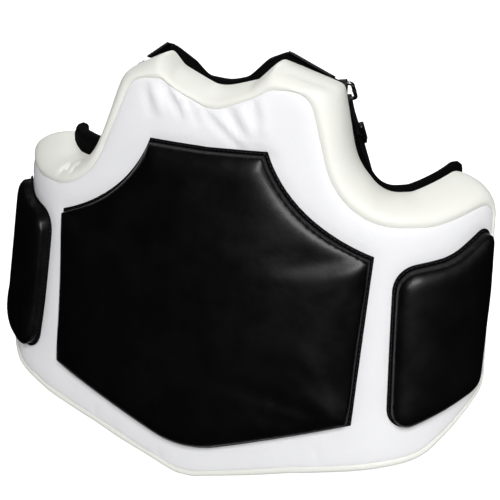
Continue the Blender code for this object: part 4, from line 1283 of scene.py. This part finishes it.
def by_ray(tree, kind, other, this):
    """A strength that differs for one kind of ray."""
    path = tree.nodes.new("ShaderNodeLightPath")
    level = tree.nodes.new("ShaderNodeMapRange")
    level.inputs["To Min"].default_value = other
    level.inputs["To Max"].default_value = this
    tree.links.new(path.outputs[kind], level.inputs["Value"])
    return level.outputs[0]


def add_floor():
    """A pale floor, seen white, that throws only a little light on the protector."""
    mesh = bpy.data.meshes.new("floor")
    corners = [(-6.0, -6.0, 0.0), (6.0, -6.0, 0.0), (6.0, 6.0, 0.0), (-6.0, 6.0, 0.0)]
    mesh.from_pydata(corners, [], [(0, 1, 2, 3)])
    finish = bpy.data.materials.new("floor")
    finish.use_nodes = True
    shader = finish.node_tree.nodes["Principled BSDF"]
    shader.inputs["Base Color"].default_value = (0.55, 0.55, 0.55, 1.0)
    shader.inputs["Roughness"].default_value = 0.9
    shader.inputs["Specular IOR Level"].default_value = 0.0
    shader.inputs["Emission Color"].default_value = (1.0, 1.0, 1.0, 1.0)
    glow = by_ray(finish.node_tree, "Is Camera Ray", 0.12, 0.95)
    finish.node_tree.links.new(glow, shader.inputs["Emission Strength"])
    mesh.materials.append(finish)
    floor = link("floor", mesh)
    floor.location.z = -0.004
    floor.visible_glossy = False


def add_light(name, place, size, power):
    """A square lamp that faces the chest."""
    lamp = bpy.data.lights.new(name, "AREA")
    lamp.shape = "RECTANGLE"
    lamp.size = lamp.size_y = size
    lamp.energy = power
    light = link(name, lamp)
    light.location = Vector(place) + Vector(ORIGIN)
    light.rotation_mode = "QUATERNION"
    light.rotation_quaternion = (LIT - Vector(place)).to_track_quat("-Z", "Y")
    return light


def add_world():
    """Even light all round, with a white background."""
    world = bpy.data.worlds.new("studio")
    world.use_nodes = True
    bpy.context.scene.world = world
    tree = world.node_tree
    back = tree.nodes["Background"]
    seen = tree.nodes.new("ShaderNodeMath")
    seen.operation = "MAXIMUM"
    tree.links.new(by_ray(tree, "Is Glossy Ray", 0.20, 0.003), seen.inputs[0])
    tree.links.new(by_ray(tree, "Is Camera Ray", 0.0, 1.1), seen.inputs[1])
    tree.links.new(seen.outputs[0], back.inputs["Strength"])
    back.inputs["Color"].default_value = (1.0, 1.0, 1.0, 1.0)


LIT = Vector((0.0, 0.05, 0.0))    # what the lamps face, from the chest curve's origin
KEY_PLACE = (0.75, -1.45, 1.25)
CAMERA_TURN = math.radians(23.73)
CAMERA_RISE = math.radians(21.92)
CAMERA_DISTANCE = 0.8944
CAMERA_ASIDE = 0.0418     # where it aims, beside and below the chest curve's origin
CAMERA_LOW = -0.0229


def add_camera():
    """A view from above, a little to the wearer's left of straight ahead."""
    sine, cosine = math.sin(CAMERA_TURN), math.cos(CAMERA_TURN)
    level = math.cos(CAMERA_RISE)
    look = Vector((-sine * level, cosine * level, -math.sin(CAMERA_RISE)))
    target = Vector((CAMERA_ASIDE * cosine, CAMERA_ASIDE * sine, CAMERA_LOW))
    lens = bpy.data.cameras.new("camera")
    lens.lens = 72.0
    lens.sensor_width = 36.0
    camera = link("camera", lens)
    camera.location = target - look * CAMERA_DISTANCE + Vector(ORIGIN)
    camera.rotation_mode = "QUATERNION"
    camera.rotation_quaternion = look.to_track_quat("-Z", "Y")
    bpy.context.scene.camera = camera


add_floor()
add_world()
add_light("key", KEY_PLACE, 0.9, 35.0)
add_light("glint", KEY_PLACE, 0.9, 36.0).visible_diffuse = False
add_light("top", (0.1, 0.1, 2.0), 1.6, 6.0).visible_glossy = False
add_light("rear", (-0.8, 1.6, 1.2), 0.9, 10.0)
add_camera()
bpy.context.scene.view_settings.view_transform = "Standard"
